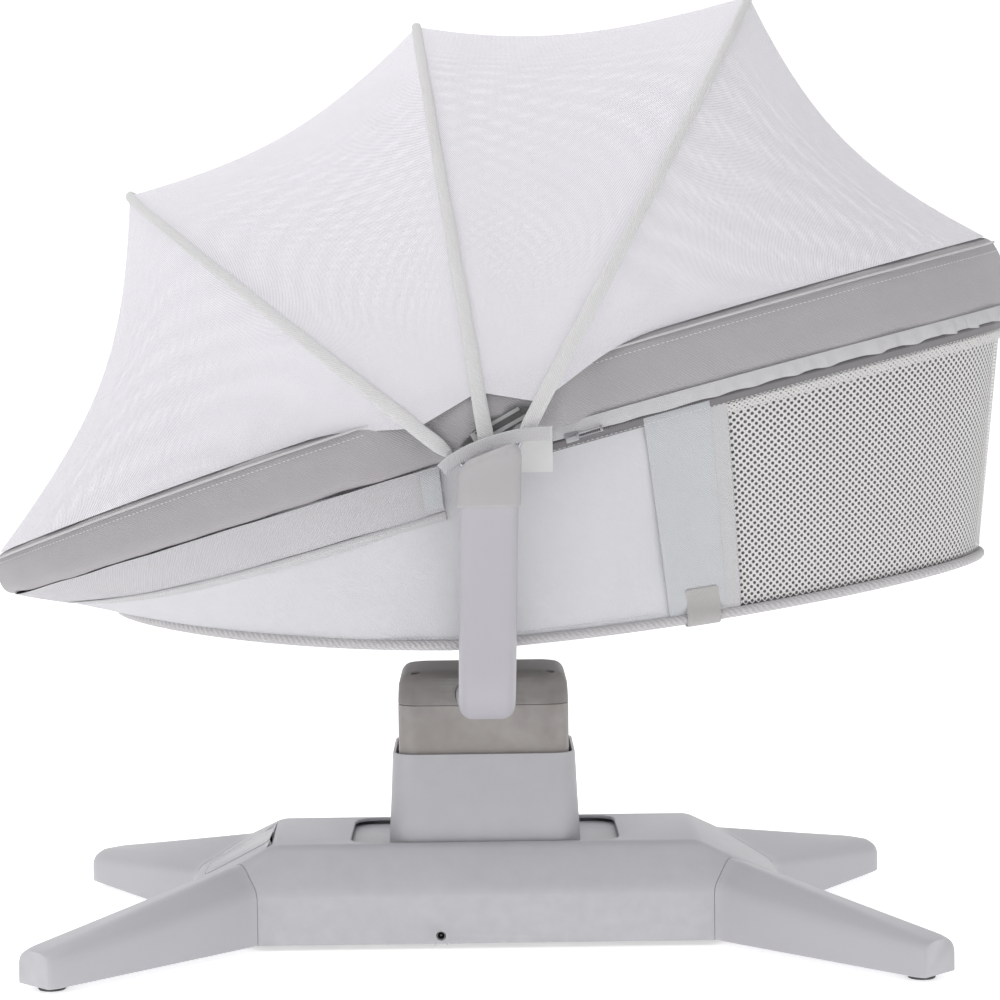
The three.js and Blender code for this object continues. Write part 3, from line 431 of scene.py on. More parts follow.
def turned(name, profile, centre, material, sides=48, axis="Z", sharp=40):
    """A piece turned round an axis from a profile of (radius, height) points in millimetres."""
    rings = []
    for turn in np.linspace(0, 2 * math.pi, sides, endpoint=False):
        radius = np.array([point[0] for point in profile]) / 1000
        height = np.array([point[1] for point in profile]) / 1000
        if axis == "Z":
            rings.append(np.stack([radius * math.cos(turn), radius * math.sin(turn), height], axis=1))
        else:
            rings.append(np.stack([radius * math.cos(turn), height, radius * math.sin(turn)], axis=1))
    rings = np.array(rings) + np.array(centre)
    piece = mesh_object(name, rings.reshape(-1, 3), tube_faces(sides, len(profile), True), material)
    reworked(piece, join_points(1e-6), drop_slivers, outwards)
    piece.data.set_sharp_from_angle(angle=math.radians(sharp))
    return piece


for corner in ("foot_near", "foot_far", "head_near", "head_far"):
    low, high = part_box(f"foot_pad_{corner}")
    middle = (low + high) / 2
    piece = turned(f"rubber_foot_{corner}", PAD_PROFILE, (middle.x, middle.y, 0), pad_rubber)
    dressed(piece, "pad_rubber", "base", f"foot_pad_{corner}")


# ---- Control panel and power socket ----------------------------------------------------------------
# A smoky touch panel lies flush in the foot-end slope, over its circuit board. The round power socket
# looks out of a small arch low in the near side.
def glued_node(node, material):
    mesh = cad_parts[node].data
    mesh.materials.clear()
    mesh.materials.append(material)


panel_plastic = plastic("panel_plastic", (151, 149, 156), 0.2, 0.0006, 0.1, 0.00002)
panel, work = merged_copy("control_panel", "touch_panel", panel_plastic)
panel_normal = Vector((-0.51, 0, 1)).normalized()
soften(work, lambda edge: edge.calc_face_angle() > 1 and
       max(face.normal.dot(panel_normal) for face in edge.link_faces) > 0.9, 0.0008, 3)
finish_copy(panel, work)
dressed(panel, "panel_plastic", "base", "control_panel")

board_green = plastic("board_green", (47, 93, 58), 0.4)
glued_node("control_board", board_green)
glued_node("dc_jack", dark_plastic)

jack_low, jack_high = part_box("dc_jack")
jack = (jack_low + jack_high) / 2
surround = []
for turn in np.linspace(0, math.pi, 19):
    surround.append((math.cos(turn), math.sin(turn)))
arch_rings = []
for radius, depth in ((5.0, 0.1), (5.0, 0.9), (5.5, 1.15), (6.0, 0.9), (6.0, 0.1)):
    ring = [(jack.x + x * radius / 1000, base_low.y - depth / 1000, jack.z + 0.001 + z * radius / 1000)
            for x, z in surround]
    arch_rings.append([(ring[0][0], ring[0][1], 0.0055)] + ring + [(ring[-1][0], ring[-1][1], 0.0055)])
arch = tube_object("socket_surround", np.array(arch_rings).transpose(1, 0, 2), base_plastic, sharp=50)
dressed(arch, "base_plastic", "base")


# ---- Drive -----------------------------------------------------------------------------------------
# Inside the base a gear motor turns a steel pinion against a rack under the carriage, which slides
# on two ground rods in bronze bushes. Nearly all of it is hidden, so it keeps its plain shapes.
metal_grain, given, result = effect_group(
    "machined_metal", [("Colour", "Color"), ("Roughness", "Float"), ("Grain", "Float")],
    [("Colour", "Color"), ("Roughness", "Float"), ("Height", "Float")])
stretch = metal_grain.nodes.new("ShaderNodeMapping")
stretch.inputs["Scale"].default_value = (60, 900, 900)
plug(metal_grain, metal_grain.nodes.new("ShaderNodeTexCoord").outputs["Object"], stretch.inputs["Vector"])
lines = noise_value(metal_grain, stretch.outputs[0], 1.0, 3.0)
plug(metal_grain, scaled_colour(metal_grain, given["Colour"], remap(metal_grain, lines, 0, 1, 0.85, 1.1)),
     result["Colour"])
plug(metal_grain, maths(metal_grain, "MULTIPLY_ADD", lines, 0.2, given["Roughness"]), result["Roughness"])
plug(metal_grain, maths(metal_grain, "MULTIPLY", lines, given["Grain"]), result["Height"])


def metal(name, colour, roughness):
    values = {"Colour": linear(*colour), "Roughness": roughness, "Grain": 1.0}
    return effect_material(name, metal_grain, values, 0.00003, Metallic=1.0)


steel = metal("bright_steel", (186, 188, 192), 0.22)
zinc = metal("zinc_die_cast", (172, 172, 176), 0.3)
bronze = metal("sintered_bronze", (166, 134, 84), 0.4)
white_plastic = plastic("white_plastic", (226, 226, 226))
for node in ("guide_rod_near", "guide_rod_far", "motor_bracket", "pinion", "hub_pin_near", "hub_pin_far"):
    glued_node(node, steel)
for node in ("bush_foot_near", "bush_foot_far", "bush_head_near", "bush_head_far"):
    glued_node(node, bronze)
for node in ("rod_bracket_foot", "rod_bracket_head", "carriage_block"):
    glued_node(node, dark_plastic)
glued_node("gear_motor", zinc)
glued_node("rack", white_plastic)


# ---- Tower -----------------------------------------------------------------------------------------
# Two nested housings and a cap stand on the carriage: a light grey sleeve with a thin open rim, and a
# warm grey inner housing closed by a crowned cap with four sunk screws. The yoke runs through them.
tower_plastic = plastic("tower_plastic", (180, 179, 183))
warm_plastic = plastic("warm_plastic", (147, 141, 137), 0.48)
cap_plastic = plastic("cap_plastic", (120, 115, 112), 0.5)


def rounded_rectangle(width, depth, radius, steps=9):
    """The outline of a rectangle with round corners, about its middle."""
    outline = []
    for corner in range(4):
        sign_x = 1 if corner in (0, 3) else -1
        sign_y = 1 if corner < 2 else -1
        for turn in np.linspace(corner * math.pi / 2, (corner + 1) * math.pi / 2, steps):
            outline.append((sign_x * (width / 2 - radius) + radius * math.cos(turn),
                            sign_y * (depth / 2 - radius) + radius * math.sin(turn)))
    return np.array(outline)


def rounded_box_ring(width, depth, radius, z):
    return [(centre_x + x / 1000, y / 1000, z / 1000) for x, y in rounded_rectangle(width, depth, radius)]


def carve(piece, *tools):
    """Cuts the tools out of a closed piece and throws them away."""
    for tool in tools:
        cutter = piece.modifiers.new("cut", "BOOLEAN")
        cutter.operation = "DIFFERENCE"
        cutter.solver = "EXACT"
        cutter.object = tool
    bake_modifiers(piece)
    for tool in tools:
        bpy.data.objects.remove(tool)
    return piece


def bake_modifiers(piece):
    bpy.context.view_layer.update()
    evaluated = piece.evaluated_get(bpy.context.evaluated_depsgraph_get())
    finished = bpy.data.meshes.new_from_object(evaluated, preserve_all_data_layers=True,
                                               depsgraph=bpy.context.evaluated_depsgraph_get())
    piece.modifiers.clear()
    piece.data = finished
    finished.name = piece.name
    return piece


SLEEVE_WALL = [(176, 138, 22, 87), (176.6, 138.6, 22, 87.6), (172, 136, 22, 130), (168.2, 134, 22, 171.8),
               (167.4, 133.4, 21.6, 172.8), (166.2, 132.2, 21, 173), (163, 129, 19.6, 172.8),
               (162, 128, 19, 171.8), (166, 130, 19, 130), (170, 132, 19, 90)]
sleeve = tube_object("tower_sleeve", [rounded_box_ring(*level) for level in SLEEVE_WALL], tower_plastic,
                     sharp=50)
dressed(sleeve, "tower_plastic", "carriage", "tower_lower_housing")

HOUSING_WALL = [(157, 124, 18, 90.4), (157, 124, 18, 150), (157, 124, 18, 216.2), (156, 123, 17.5, 217),
                (152.6, 119.6, 15.4, 217), (151, 118, 15, 216.4), (151, 118, 15, 93.4)]
CAP_WIDTH, CAP_DEPTH, CAP_CORNER, CAP_TOP = 157, 124, 18, 0.248
CAP_CROWN = [(0.9, 217.3), (0.1, 218), (0, 219), (0.4, 229), (0.9, 236), (1.9, 239.4), (3.4, 242.2),
             (5.4, 244.3), (8.2, 245.9), (12, 246.8), (18, 247.5), (27, 248)]


def block(name, low, high):
    corners = [(x, y, z) for x in (low[0], high[0]) for y in (low[1], high[1]) for z in (low[2], high[2])]
    faces = [(0, 1, 3, 2), (4, 6, 7, 5), (0, 4, 5, 1), (2, 3, 7, 6), (0, 2, 6, 4), (1, 5, 7, 3)]
    return mesh_object(name, corners, faces, dark_plastic, smooth=False)


ARM_WIDTH, ARM_THICKNESS, ARM_CORNER = 0.050, 0.026, 0.0125
ARM_Z = 0.2275


def arm_outline(grow=0.0):
    """The yoke tube's flat-oval outline, as (width, thickness) points in metres."""
    return rounded_rectangle(ARM_WIDTH + 2 * grow, ARM_THICKNESS + 2 * grow, ARM_CORNER + grow)


def channel():
    rings = [[(centre_x + x, y, ARM_Z + z) for x, z in arm_outline(0.0006)] for y in (-0.09, 0.09)]
    return tube_object("channel_tool", rings, dark_plastic)


housing = tube_object("tower_housing", [rounded_box_ring(*level) for level in HOUSING_WALL], warm_plastic,
                      sharp=50)
carve(housing, channel())
housing.data.set_sharp_from_angle(angle=math.radians(40))
dressed(housing, "warm_plastic", "carriage", "tower_upper_housing")

crown = [rounded_box_ring(CAP_WIDTH - 2 * inset, CAP_DEPTH - 2 * inset, max(5, CAP_CORNER - inset / 2), z)
         for inset, z in CAP_CROWN]
cap = tube_object("tower_crown", crown, cap_plastic)
WELL_PROFILE = [(0, -8), (4.3, -8), (4.3, -1.9), (5.2, -0.9), (6.4, 4), (0, 4)]
screw_boxes = [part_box(f"cap_screw_{number}") for number in (1, 2, 3, 4)]
screw_places = [((low.x + high.x) / 2, (low.y + high.y) / 2, CAP_TOP) for low, high in screw_boxes]
wells = [turned("well_tool", WELL_PROFILE, place, dark_plastic) for place in screw_places]
carve(cap, channel(), *wells)
cap.data.set_sharp_from_angle(angle=math.radians(40))
dressed(cap, "warm_plastic", "carriage", "tower_cap")

SCREW_PROFILE = [(0, -44), (1.9, -44), (1.9, -7.7), (3.8, -7.7), (3.9, -7.3), (3.9, -5.7), (3.4, -5),
                 (2.1, -4.8), (1.9, -5.2), (1.9, -6.6), (0, -6.8)]
for number, place in enumerate(screw_places, 1):
    screw = turned(f"crown_screw_{number}", SCREW_PROFILE, place, steel, 24)
    dressed(screw, "steel", "carriage", f"cap_screw_{number}")

DUST_COVER = [(298, 146, 12, 83.1), (298, 146, 12, 84.8), (297, 145, 11.6, 86), (294, 142, 10.4, 86.7)]
cover = tube_object("dust_shutter", [rounded_box_ring(*level) for level in DUST_COVER], tower_plastic,
                    sharp=50)
dressed(cover, "tower_plastic", "carriage", "dust_cover")


# ---- Yoke ------------------------------------------------------------------------------------------
# A flat-oval tube bent into a U runs through the tower and leans out on both sides. A hinge head is
# pushed on each end and holds the steel pin that the bassinet hangs and tilts on.
arm_plastic = plastic("arm_plastic", (176, 174, 180), 0.38)
collar_plastic = plastic("collar_plastic", (169, 166, 168), 0.4)
BEND_Y, LEAN, BEND_RUN, TUBE_END_Z = 0.180, 0.47, 0.049, 0.432
DRIFT_AT_BEND, DRIFT_GAIN = 0.0034, 0.0041 / 0.2135
HEAD_LOW, HEAD_RISE, HEAD_INNER_Y = 0.411, 0.052, 0.2503
hub_low, hub_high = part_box("hub_pin_near")
hub_x, hub_z = (hub_low.x + hub_high.x) / 2, (hub_low.z + hub_high.z) / 2
lean_way = np.array([LEAN, 1.0]) / math.hypot(LEAN, 1)


def arm_drift(z):
    """The arms stand a little towards the head end, more so at their tops."""
    return DRIFT_AT_BEND + DRIFT_GAIN * (z - ARM_Z)


def half_yoke_path():
    """(y, z) points of the tube's centre line from the middle of the tower to one end."""
    corner = np.array([BEND_Y, ARM_Z])
    before, after = corner - np.array([BEND_RUN, 0]), corner + lean_way * BEND_RUN
    path = [np.array([y, ARM_Z]) for y in np.linspace(0, before[0], 8)[:-1]]
    for t in np.linspace(0, 1, 25):
        path.append((1 - t) ** 2 * before + 2 * t * (1 - t) * corner + t * t * after)
    end = corner + lean_way * (TUBE_END_Z - ARM_Z) / lean_way[1]
    path += [after + (end - after) * t for t in np.linspace(0, 1, 12)[1:]]
    return np.array(path)


def unit_ways(line):
    """The way that a line of points runs at each of them."""
    ways = np.gradient(line, axis=0)
    return ways / np.linalg.norm(ways, axis=1)[:, None]


half_path = half_yoke_path()
path = np.concatenate([half_path[:0:-1] * [-1, 1], half_path])
yoke_rings = []
for (y, z), (way_y, way_z) in zip(path, unit_ways(path)):
    x = centre_x + arm_drift(z) * np.clip((abs(y) - 0.07) / 0.06, 0, 1)
    yoke_rings.append([(x + across, y - out * way_z, z + out * way_y) for across, out in arm_outline()])
yoke = tube_object("yoke_tube", yoke_rings, arm_plastic, sharp=50)
dressed(yoke, "arm_plastic", "carriage", "yoke")


def head_top(x):
    """The head's top falls away towards the foot end, under the net's binding."""
    from_hub = (x - hub_x) * 1000
    return 465 - 0.0075 * np.clip(22 - from_hub, 0, None) ** 2


def hinge_head(name, side):
    rings = []
    for rise, inset in ((0, 1.2), (0.02, 0.2), (0.06, 0), (0.35, 0), (0.6, 0), (0.8, 0), (0.9, 1.0),
                        (0.96, 3.4), (1, 8)):
        ring = []
        outline = rounded_box_ring(54 - 2 * inset, 36 - 2 * inset, max(3, 12 - inset), 0)
        for x, y, _ in outline:
            shift = arm_drift(HEAD_LOW + HEAD_RISE * rise)
            z = HEAD_LOW + rise * (head_top(x + shift) / 1000 - HEAD_LOW)
            ring.append((x + shift, side * (BEND_Y + (z - ARM_Z) * LEAN) + y, z))
        rings.append(ring)
    head = tube_object(name, rings, collar_plastic)
    trim = block("trim_tool", (centre_x - 0.06, min(0, side * HEAD_INNER_Y), 0.38),
                 (centre_x + 0.06, max(0, side * HEAD_INNER_Y), 0.49))
    stretch_out = math.hypot(1, LEAN)
    socket = []
    for z in (0.406, 0.4392):
        middle_x, middle_y = centre_x + arm_drift(z), side * (BEND_Y + (z - ARM_Z) * LEAN)
        socket.append([(middle_x + across, middle_y + out * stretch_out, z)
                       for across, out in arm_outline(0.0003)])
    socket = tube_object("socket_tool", socket, dark_plastic)
    hole = turned("pin_tool", [(0, -12), (5.3, -12), (5.3, 5), (0, 5)], (hub_x, side * 0.252, hub_z),
                  dark_plastic, axis="Y")
    carve(head, trim, socket, hole)
    head.data.set_sharp_from_angle(angle=math.radians(40))
    return head


for side_name, side in SIDES:
    head = hinge_head(f"yoke_head_{side_name}", side)
    dressed(head, "arm_plastic", "carriage", f"hinge_head_{side_name}")


# ---- Bassinet frame --------------------------------------------------------------------------------
# An egg-shaped steel tube hoop, tilted up towards the head end, hangs from the hub pins on two white
# moulded brackets that clamp round it.
rim_tilt = math.radians(16.2)
RIM_OFFSET, RIM_ARCH = 0.0467, 0.015
RIM_HALF_WIDTH, RIM_FOOT, RIM_HEAD = 0.228, 0.468, 0.506
RIM_FOOT_HEIGHT, RIM_HEAD_HEIGHT = 0.037, 0.068
COVER_HALF = 0.018
rim_along = np.array([math.cos(rim_tilt), 0, math.sin(rim_tilt)])
rim_normal = np.array([-math.sin(rim_tilt), 0, math.cos(rim_tilt)])
hub = np.array([hub_x, 0, hub_z])
rim_centre = hub + rim_normal * RIM_OFFSET


def egg(angle, half_width, foot, head):
    """An egg outline, blunter at the head end. Angle 0 is the head tip and 90 degrees the far side."""
    cosine, sine = np.cos(angle), np.sin(angle)
    power = np.where(cosine >= 0, 2 / 2.5, 2 / 2.15)
    along = np.where(cosine >= 0, head, foot) * np.sign(cosine) * np.abs(cosine) ** power
    return along, half_width * np.sign(sine) * np.abs(sine) ** power


def rim_height(along):
    share = np.clip((along + RIM_FOOT) / (RIM_FOOT + RIM_HEAD), 0, 1)
    return RIM_FOOT_HEIGHT + (RIM_HEAD_HEIGHT - RIM_FOOT_HEIGHT) * share ** 0.6


def rim_point(angle, inset, level=0.0, lift=0.0):
    """A point by the rim: inset from its outside, at a level from -1, its underside, to 1, its top."""
    along, across = egg(angle, RIM_HALF_WIDTH - inset, RIM_FOOT - inset, RIM_HEAD - inset)
    arch = RIM_ARCH * (1 - (along / np.where(along < 0, RIM_FOOT, RIM_HEAD)) ** 2)
    up = level * rim_height(along) / 2 + lift + arch
    point = rim_centre + along[..., None] * rim_along + up[..., None] * rim_normal
    point[..., 1] = across
    return point


def run_along(line):
    """How far along a line of points each one lies."""
    return np.concatenate([[0], np.cumsum(np.linalg.norm(np.diff(line, axis=0), axis=1))])


fine_angles = np.linspace(-math.pi, math.pi, 20001)
fine_lengths = run_along(rim_point(fine_angles, 0.0))


def even_angles(start, stop, count, endless=False):
    """Angles from start to stop, in degrees, whose points lie evenly along the rim."""
    start, stop = math.radians(start), math.radians(stop)
    shift = fine_lengths[-1]
    lengths = [np.interp((angle + math.pi) % (2 * math.pi) - math.pi, fine_angles, fine_lengths)
               + shift * math.floor((angle + math.pi) / (2 * math.pi)) for angle in (start, stop)]
    wanted = np.linspace(*lengths, count, endpoint=not endless)
    return np.interp(wanted % shift, fine_lengths, fine_angles) + 2 * math.pi * np.floor(wanted / shift)


hoop_angles = even_angles(0, 360, 220, endless=True)
hoop = []
for turn in np.linspace(0, 2 * math.pi, 16, endpoint=False):
    hoop.append(rim_point(hoop_angles, COVER_HALF - 0.008 * math.cos(turn), 0, 0.008 * math.sin(turn)))
hoop_tube = tube_object("rim_tube", np.array(hoop).transpose(1, 0, 2), steel, endless=True)
dressed(hoop_tube, "steel", "bassinet", "rim_frame")

for side_name in ("near", "far"):
    bracket, work = merged_copy(f"hub_bracket_{side_name}", f"hanger_{side_name}", white_plastic)
    finish_copy(bracket, work, 30)
    dressed(bracket, "white_plastic", "bassinet", f"hub_bracket_{side_name}")


# ---- Cloth finishes --------------------------------------------------------------------------------
# Heathered polyester twill, woven with a clear diagonal rib, covers the rim, the bows and the hems. The
# side panels are the same yarn in a finer, smoother weave. The weave follows each piece's own UV map,
# which is laid out in metres.
woven, given, result = effect_group(
    "woven_cloth", [("Colour", "Color"), ("Roughness", "Float"), ("Rib", "Float"), ("Contrast", "Float"),
                    ("Heather", "Float")],
    [("Colour", "Color"), ("Roughness", "Float"), ("Height", "Float")])
cloth_map = woven.nodes.new("ShaderNodeUVMap")
cloth_map.uv_map = "cloth"
parts = woven.nodes.new("ShaderNodeSeparateXYZ")
woven.links.new(cloth_map.outputs["UV"], parts.inputs[0])
drift = noise_value(woven, cloth_map.outputs["UV"], 90.0, 2.0)
diagonal = maths(woven, "ADD", maths(woven, "ADD", parts.outputs[0], parts.outputs[1]),
                 maths(woven, "MULTIPLY", drift, 0.0012))
counter = maths(woven, "SUBTRACT", parts.outputs[0], parts.outputs[1])
rib = maths(woven, "SINE", maths(woven, "MULTIPLY", maths(woven, "DIVIDE", diagonal, given["Rib"]),
                                 2 * math.pi))
thread = maths(woven, "SINE", maths(woven, "MULTIPLY", maths(woven, "DIVIDE", counter, given["Rib"]),
                                    5 * math.pi))
weave = maths(woven, "MULTIPLY_ADD", thread, 0.35, rib)
fleck = noise_value(woven, cloth_map.outputs["UV"], 1100.0, 1.0)
blotch = noise_value(woven, cloth_map.outputs["UV"], 24.0, 3.0)
tone = maths(woven, "MULTIPLY_ADD", weave, maths(woven, "MULTIPLY", given["Contrast"], 0.5), 1.0)
tone = maths(woven, "MULTIPLY_ADD", maths(woven, "SUBTRACT", fleck, 0.5), given["Heather"], tone)
tone = maths(woven, "MULTIPLY_ADD", maths(woven, "SUBTRACT", blotch, 0.5), 0.06, tone)
plug(woven, scaled_colour(woven, given["Colour"], tone), result["Colour"])
plug(woven, maths(woven, "MULTIPLY_ADD", fleck, 0.1, given["Roughness"]), result["Roughness"])
plug(woven, maths(woven, "MULTIPLY_ADD", fleck, 0.5, weave), result["Height"])


def cloth(name, colour, rib=0.0026, contrast=0.14, heather=0.3, bump=0.0003, **settings):
    values = {"Colour": linear(*colour), "Roughness": 0.82, "Rib": rib, "Contrast": contrast,
              "Heather": heather}
    material = effect_material(name, woven, values, bump, **settings)
    shader = material.node_tree.nodes["Principled BSDF"]
    shader.inputs["Sheen Weight"].default_value = 0.25
    shader.inputs["Sheen Roughness"].default_value = 0.5
    return material


rim_twill = cloth("rim_twill", (175, 172, 175))
side_cloth = cloth("side_cloth", (218, 218, 222), 0.0016, 0.06, 0.12, 0.00015)
panel_twill = cloth("panel_twill", (205, 207, 211), 0.0022, 0.12, 0.22)
skirt_twill = cloth("skirt_twill", (200, 198, 202), 0.0026, 0.12, 0.25)
band_twill = cloth("band_twill", (208, 207, 210), 0.002, 0.12, 0.2)


def cloth_grid(name, grid, material, closed_u=False, closed_v=False, sizes=None):
    """A cloth piece over a grid of points, with a UV map in metres: u along the rows, v across."""
    grid = np.array(grid, float)
    rows, columns = grid.shape[:2]
    last_row = rows if closed_u else rows - 1
    last_column = columns if closed_v else columns - 1
    row, column = np.meshgrid(np.arange(last_row), np.arange(last_column), indexing="ij")
    next_row, next_column = (row + 1) % rows, (column + 1) % columns
    faces = np.stack([row * columns + column, row * columns + next_column, next_row * columns + next_column,
                      next_row * columns + column], axis=-1).reshape(-1, 4)
    piece = mesh_object(name, grid.reshape(-1, 3), faces.tolist(), material)
    looped = np.concatenate([grid, grid[:1]])
    looped = np.concatenate([looped, looped[:, :1]], axis=1)
    step_u = np.linalg.norm(np.diff(looped, axis=0), axis=2).mean(axis=1)
    step_v = np.linalg.norm(np.diff(looped, axis=1), axis=2).mean(axis=0)
    u = np.concatenate([[0], np.cumsum(step_u)])
    v = np.concatenate([[0], np.cumsum(step_v)])
    corners = np.stack([np.stack([u[row], v[column]], -1), np.stack([u[row], v[column + 1]], -1),
                        np.stack([u[row + 1], v[column + 1]], -1), np.stack([u[row + 1], v[column]], -1)],
                        axis=2)
    layer = piece.data.uv_layers.new(name="cloth")
    layer.data.foreach_set("uv", corners.reshape(-1).astype(np.float32))
    return piece


def cloth_tube(name, rings, material, endless=False):
    """A tube of cloth with closed ends, over rings of points."""
    rings = np.array(rings, float)
    if not endless:
        first, last = rings[0].mean(axis=0), rings[-1].mean(axis=0)
        rings = np.concatenate([[first + (rings[0] - first) * 0.05], rings,
                                [last + (rings[-1] - last) * 0.05]])
    piece = cloth_grid(name, rings, material, closed_u=endless, closed_v=True)
    if not endless:
        reworked(piece, close_holes)
    return reworked(piece, outwards)


def wavy(points, size, amount, seed):
    """Small soft creases: each point moves by a smooth noise of that size."""
    shifts = [Vector((seed, 7.3 * axis, 3.1 * axis)) for axis in (1, 2, 3)]
    spots = [Vector(point) / size for point in points.reshape(-1, 3)]
    offsets = np.array([[noise.noise(spot + shift) for shift in shifts] for spot in spots]) * amount
    return points + offsets.reshape(points.shape)


# ---- Rim cover -------------------------------------------------------------------------------------
# A padded twill sleeve is pulled over the rim tube. It is slim at the foot and deep at the head, with a
# bound seam along its top edge, and a lens-shaped opening by each hub that shows the bracket's levers.
# Each opening is a shallow dip in the cloth, coloured dark grey as painted shade.
LENS_AT, LENS_HALF, LENS_TURN = (0.0046, 0.0546), (0.040, 0.0095), math.radians(29)
HUB_SWELL, LENS_SINK = 0.0095, 0.002
LEVER_Y, LEVER_THICK = 0.2352, 0.004


def window_bump(value, low, high, soft):
    return np.clip((value - low) / soft, 0, 1) * np.clip((high - value) / soft, 0, 1)


cover_angles = even_angles(0, 360, 540, endless=True)
cover_turns = np.linspace(0, 2 * math.pi, 44, endpoint=False)
cover_rows = []
for turn in cover_turns:
    out = COVER_HALF * np.sign(math.cos(turn)) * abs(math.cos(turn)) ** 0.62
    up = np.sign(math.sin(turn)) * abs(math.sin(turn)) ** 0.7
    cover_rows.append(rim_point(cover_angles, COVER_HALF - out, up))
cover_grid = wavy(np.array(cover_rows).transpose(1, 0, 2), 0.045, 0.0016, 3.0)
cover_grid = wavy(cover_grid, 0.014, 0.0004, 9.0)
from_hub = (cover_grid[..., 0] - hub_x, cover_grid[..., 2] - hub_z)
outer_side = np.clip((np.cos(cover_turns) - 0.2) / 0.3, 0, 1)[None, :]
swell = window_bump(from_hub[0], -0.055, 0.085, 0.03) * outer_side
lens_x, lens_z = from_hub[0] - LENS_AT[0], from_hub[1] - LENS_AT[1]
lens_u = (lens_x * math.cos(LENS_TURN) + lens_z * math.sin(LENS_TURN)) / LENS_HALF[0]
lens_v = (-lens_x * math.sin(LENS_TURN) + lens_z * math.cos(LENS_TURN)) / LENS_HALF[1]
in_lens = np.clip((1 - (lens_u ** 2 + np.abs(lens_v))) * 4, 0, 1) * outer_side
cover_grid[..., 1] += np.sign(cover_grid[..., 1]) * (HUB_SWELL * swell - LENS_SINK * in_lens)
rim_cover = cloth_grid("rim_cover", cover_grid, rim_twill, closed_u=True, closed_v=True)
reworked(rim_cover, outwards)
# Painted shade: inside each lens the cloth's colour is mixed towards a dark grey, for the shade in the dip.
lens_painted_shade_layer = rim_cover.data.attributes.new("lens_painted_shade", "FLOAT", "POINT")
lens_painted_shade_layer.data.foreach_set("value", in_lens.reshape(-1).astype(np.float32))
cover_twill = rim_twill.copy()
cover_twill.name = "rim_cover_lens_shade_twill"
rim_cover.data.materials[0] = cover_twill
cover_nodes = cover_twill.node_tree
lens_painted_shade_node = cover_nodes.nodes.new("ShaderNodeAttribute")
lens_painted_shade_node.attribute_name = "lens_painted_shade"
cover_shader = cover_nodes.nodes["Principled BSDF"]
woven_colour = cover_shader.inputs["Base Color"].links[0].from_socket
# Painted shade: the dark grey mixed in here, through the lens mask, is the lens's shade.
plug(cover_nodes, mix_colour(cover_nodes, remap(cover_nodes, lens_painted_shade_node.outputs["Fac"], 0.15, 0.5, 0.0, 1.0),
                             woven_colour, linear(112, 111, 112)), cover_shader.inputs["Base Color"])
dressed(rim_cover, "rim_twill", "bassinet", "rim_pad")


def line_tube(name, line, radius, material, endless=False, sides=8):
    """A thin tube along a line of points, such as a piping or a bound seam."""
    line = np.array(line, float)
    ways = unit_ways(np.concatenate([line[-1:], line, line[:1]]))[1:-1] if endless else unit_ways(line)
    side_way = np.cross(ways, [0, 0, 1])
    side_way /= np.linalg.norm(side_way, axis=1)[:, None]
    up_way = np.cross(side_way, ways)
    rings = []
    for turn in np.linspace(0, 2 * math.pi, sides, endpoint=False):
        rings.append(line + side_way * radius * math.cos(turn) + up_way * radius * math.sin(turn))
    return cloth_tube(name, np.array(rings).transpose(1, 0, 2), material, endless)


binding = line_tube("rim_binding", rim_point(even_angles(0, 360, 400, endless=True), 0.0012, 0.8), 0.0011,
                    band_twill, True)
dressed(binding, "rim_twill", "bassinet")

# Painted shade: the bracket's levers are white plastic, given a mid grey here for the shade they sit in
# inside the lens.
lever_plastic_painted_shade = plastic("lever_plastic_painted_shade", (158, 159, 158), 0.5)
for side_name, side in SIDES:
    bars = []
    for shift, length in ((-0.0045, 0.052), (0.004, 0.044)):
        bars.append((LENS_AT[0] - shift * math.sin(LENS_TURN), LENS_AT[1] + shift * math.cos(LENS_TURN),
                     length, 0.0034))
    bars.append((LENS_AT[0] - 0.018, LENS_AT[1] - 0.009, 0.011, 0.009))
    work = bmesh.new()
    for at_x, at_z, length, height in bars:
        turned_box = (Matrix.Translation((hub_x + at_x, side * LEVER_Y, hub_z + at_z))
                      @ Matrix.Rotation(-LENS_TURN, 4, "Y")
                      @ Matrix.Diagonal((length, LEVER_THICK, height, 1)))
        bmesh.ops.create_cube(work, size=1, matrix=turned_box)
    soften(work, lambda edge: True, 0.0008, 2)
    levers = mesh_object(f"bracket_levers_{side_name}", [], [], lever_plastic_painted_shade)
    finish_copy(levers, work)
    dressed(levers, "white_plastic", "bassinet")


# ---- Basket walls ----------------------------------------------------------------------------------
# The basket hangs under the rim as one cloth wall, sewn to the rim cover above and to a stiff floor
# below. It runs from a pale foot half, under a second skirt band, to the mesh window at the head.
FLOOR_HALF_WIDTH, FLOOR_FOOT, FLOOR_HEAD, FLOOR_LOW = 0.178, 0.347, 0.450, 0.2845
WINDOW_ANGLE = 68.5
WALL_SKEW = 0.04


def floor_height(x):
    start = x - hub_x + 0.042
    foot_rise = 0.0215 * (start / (FLOOR_FOOT - 0.042)) ** 2
    head_rise = 0.0645 * (np.maximum(start, 0) / (FLOOR_HEAD + 0.042)) ** 1.4
    return FLOOR_LOW + np.where(start < 0, foot_rise, head_rise)


def floor_point(angle, inset, lift=0.0):
    along, across = egg(angle, FLOOR_HALF_WIDTH - inset, FLOOR_FOOT - inset, FLOOR_HEAD - inset)
    return np.stack([hub_x + along, across, floor_height(hub_x + along) + lift], axis=-1)


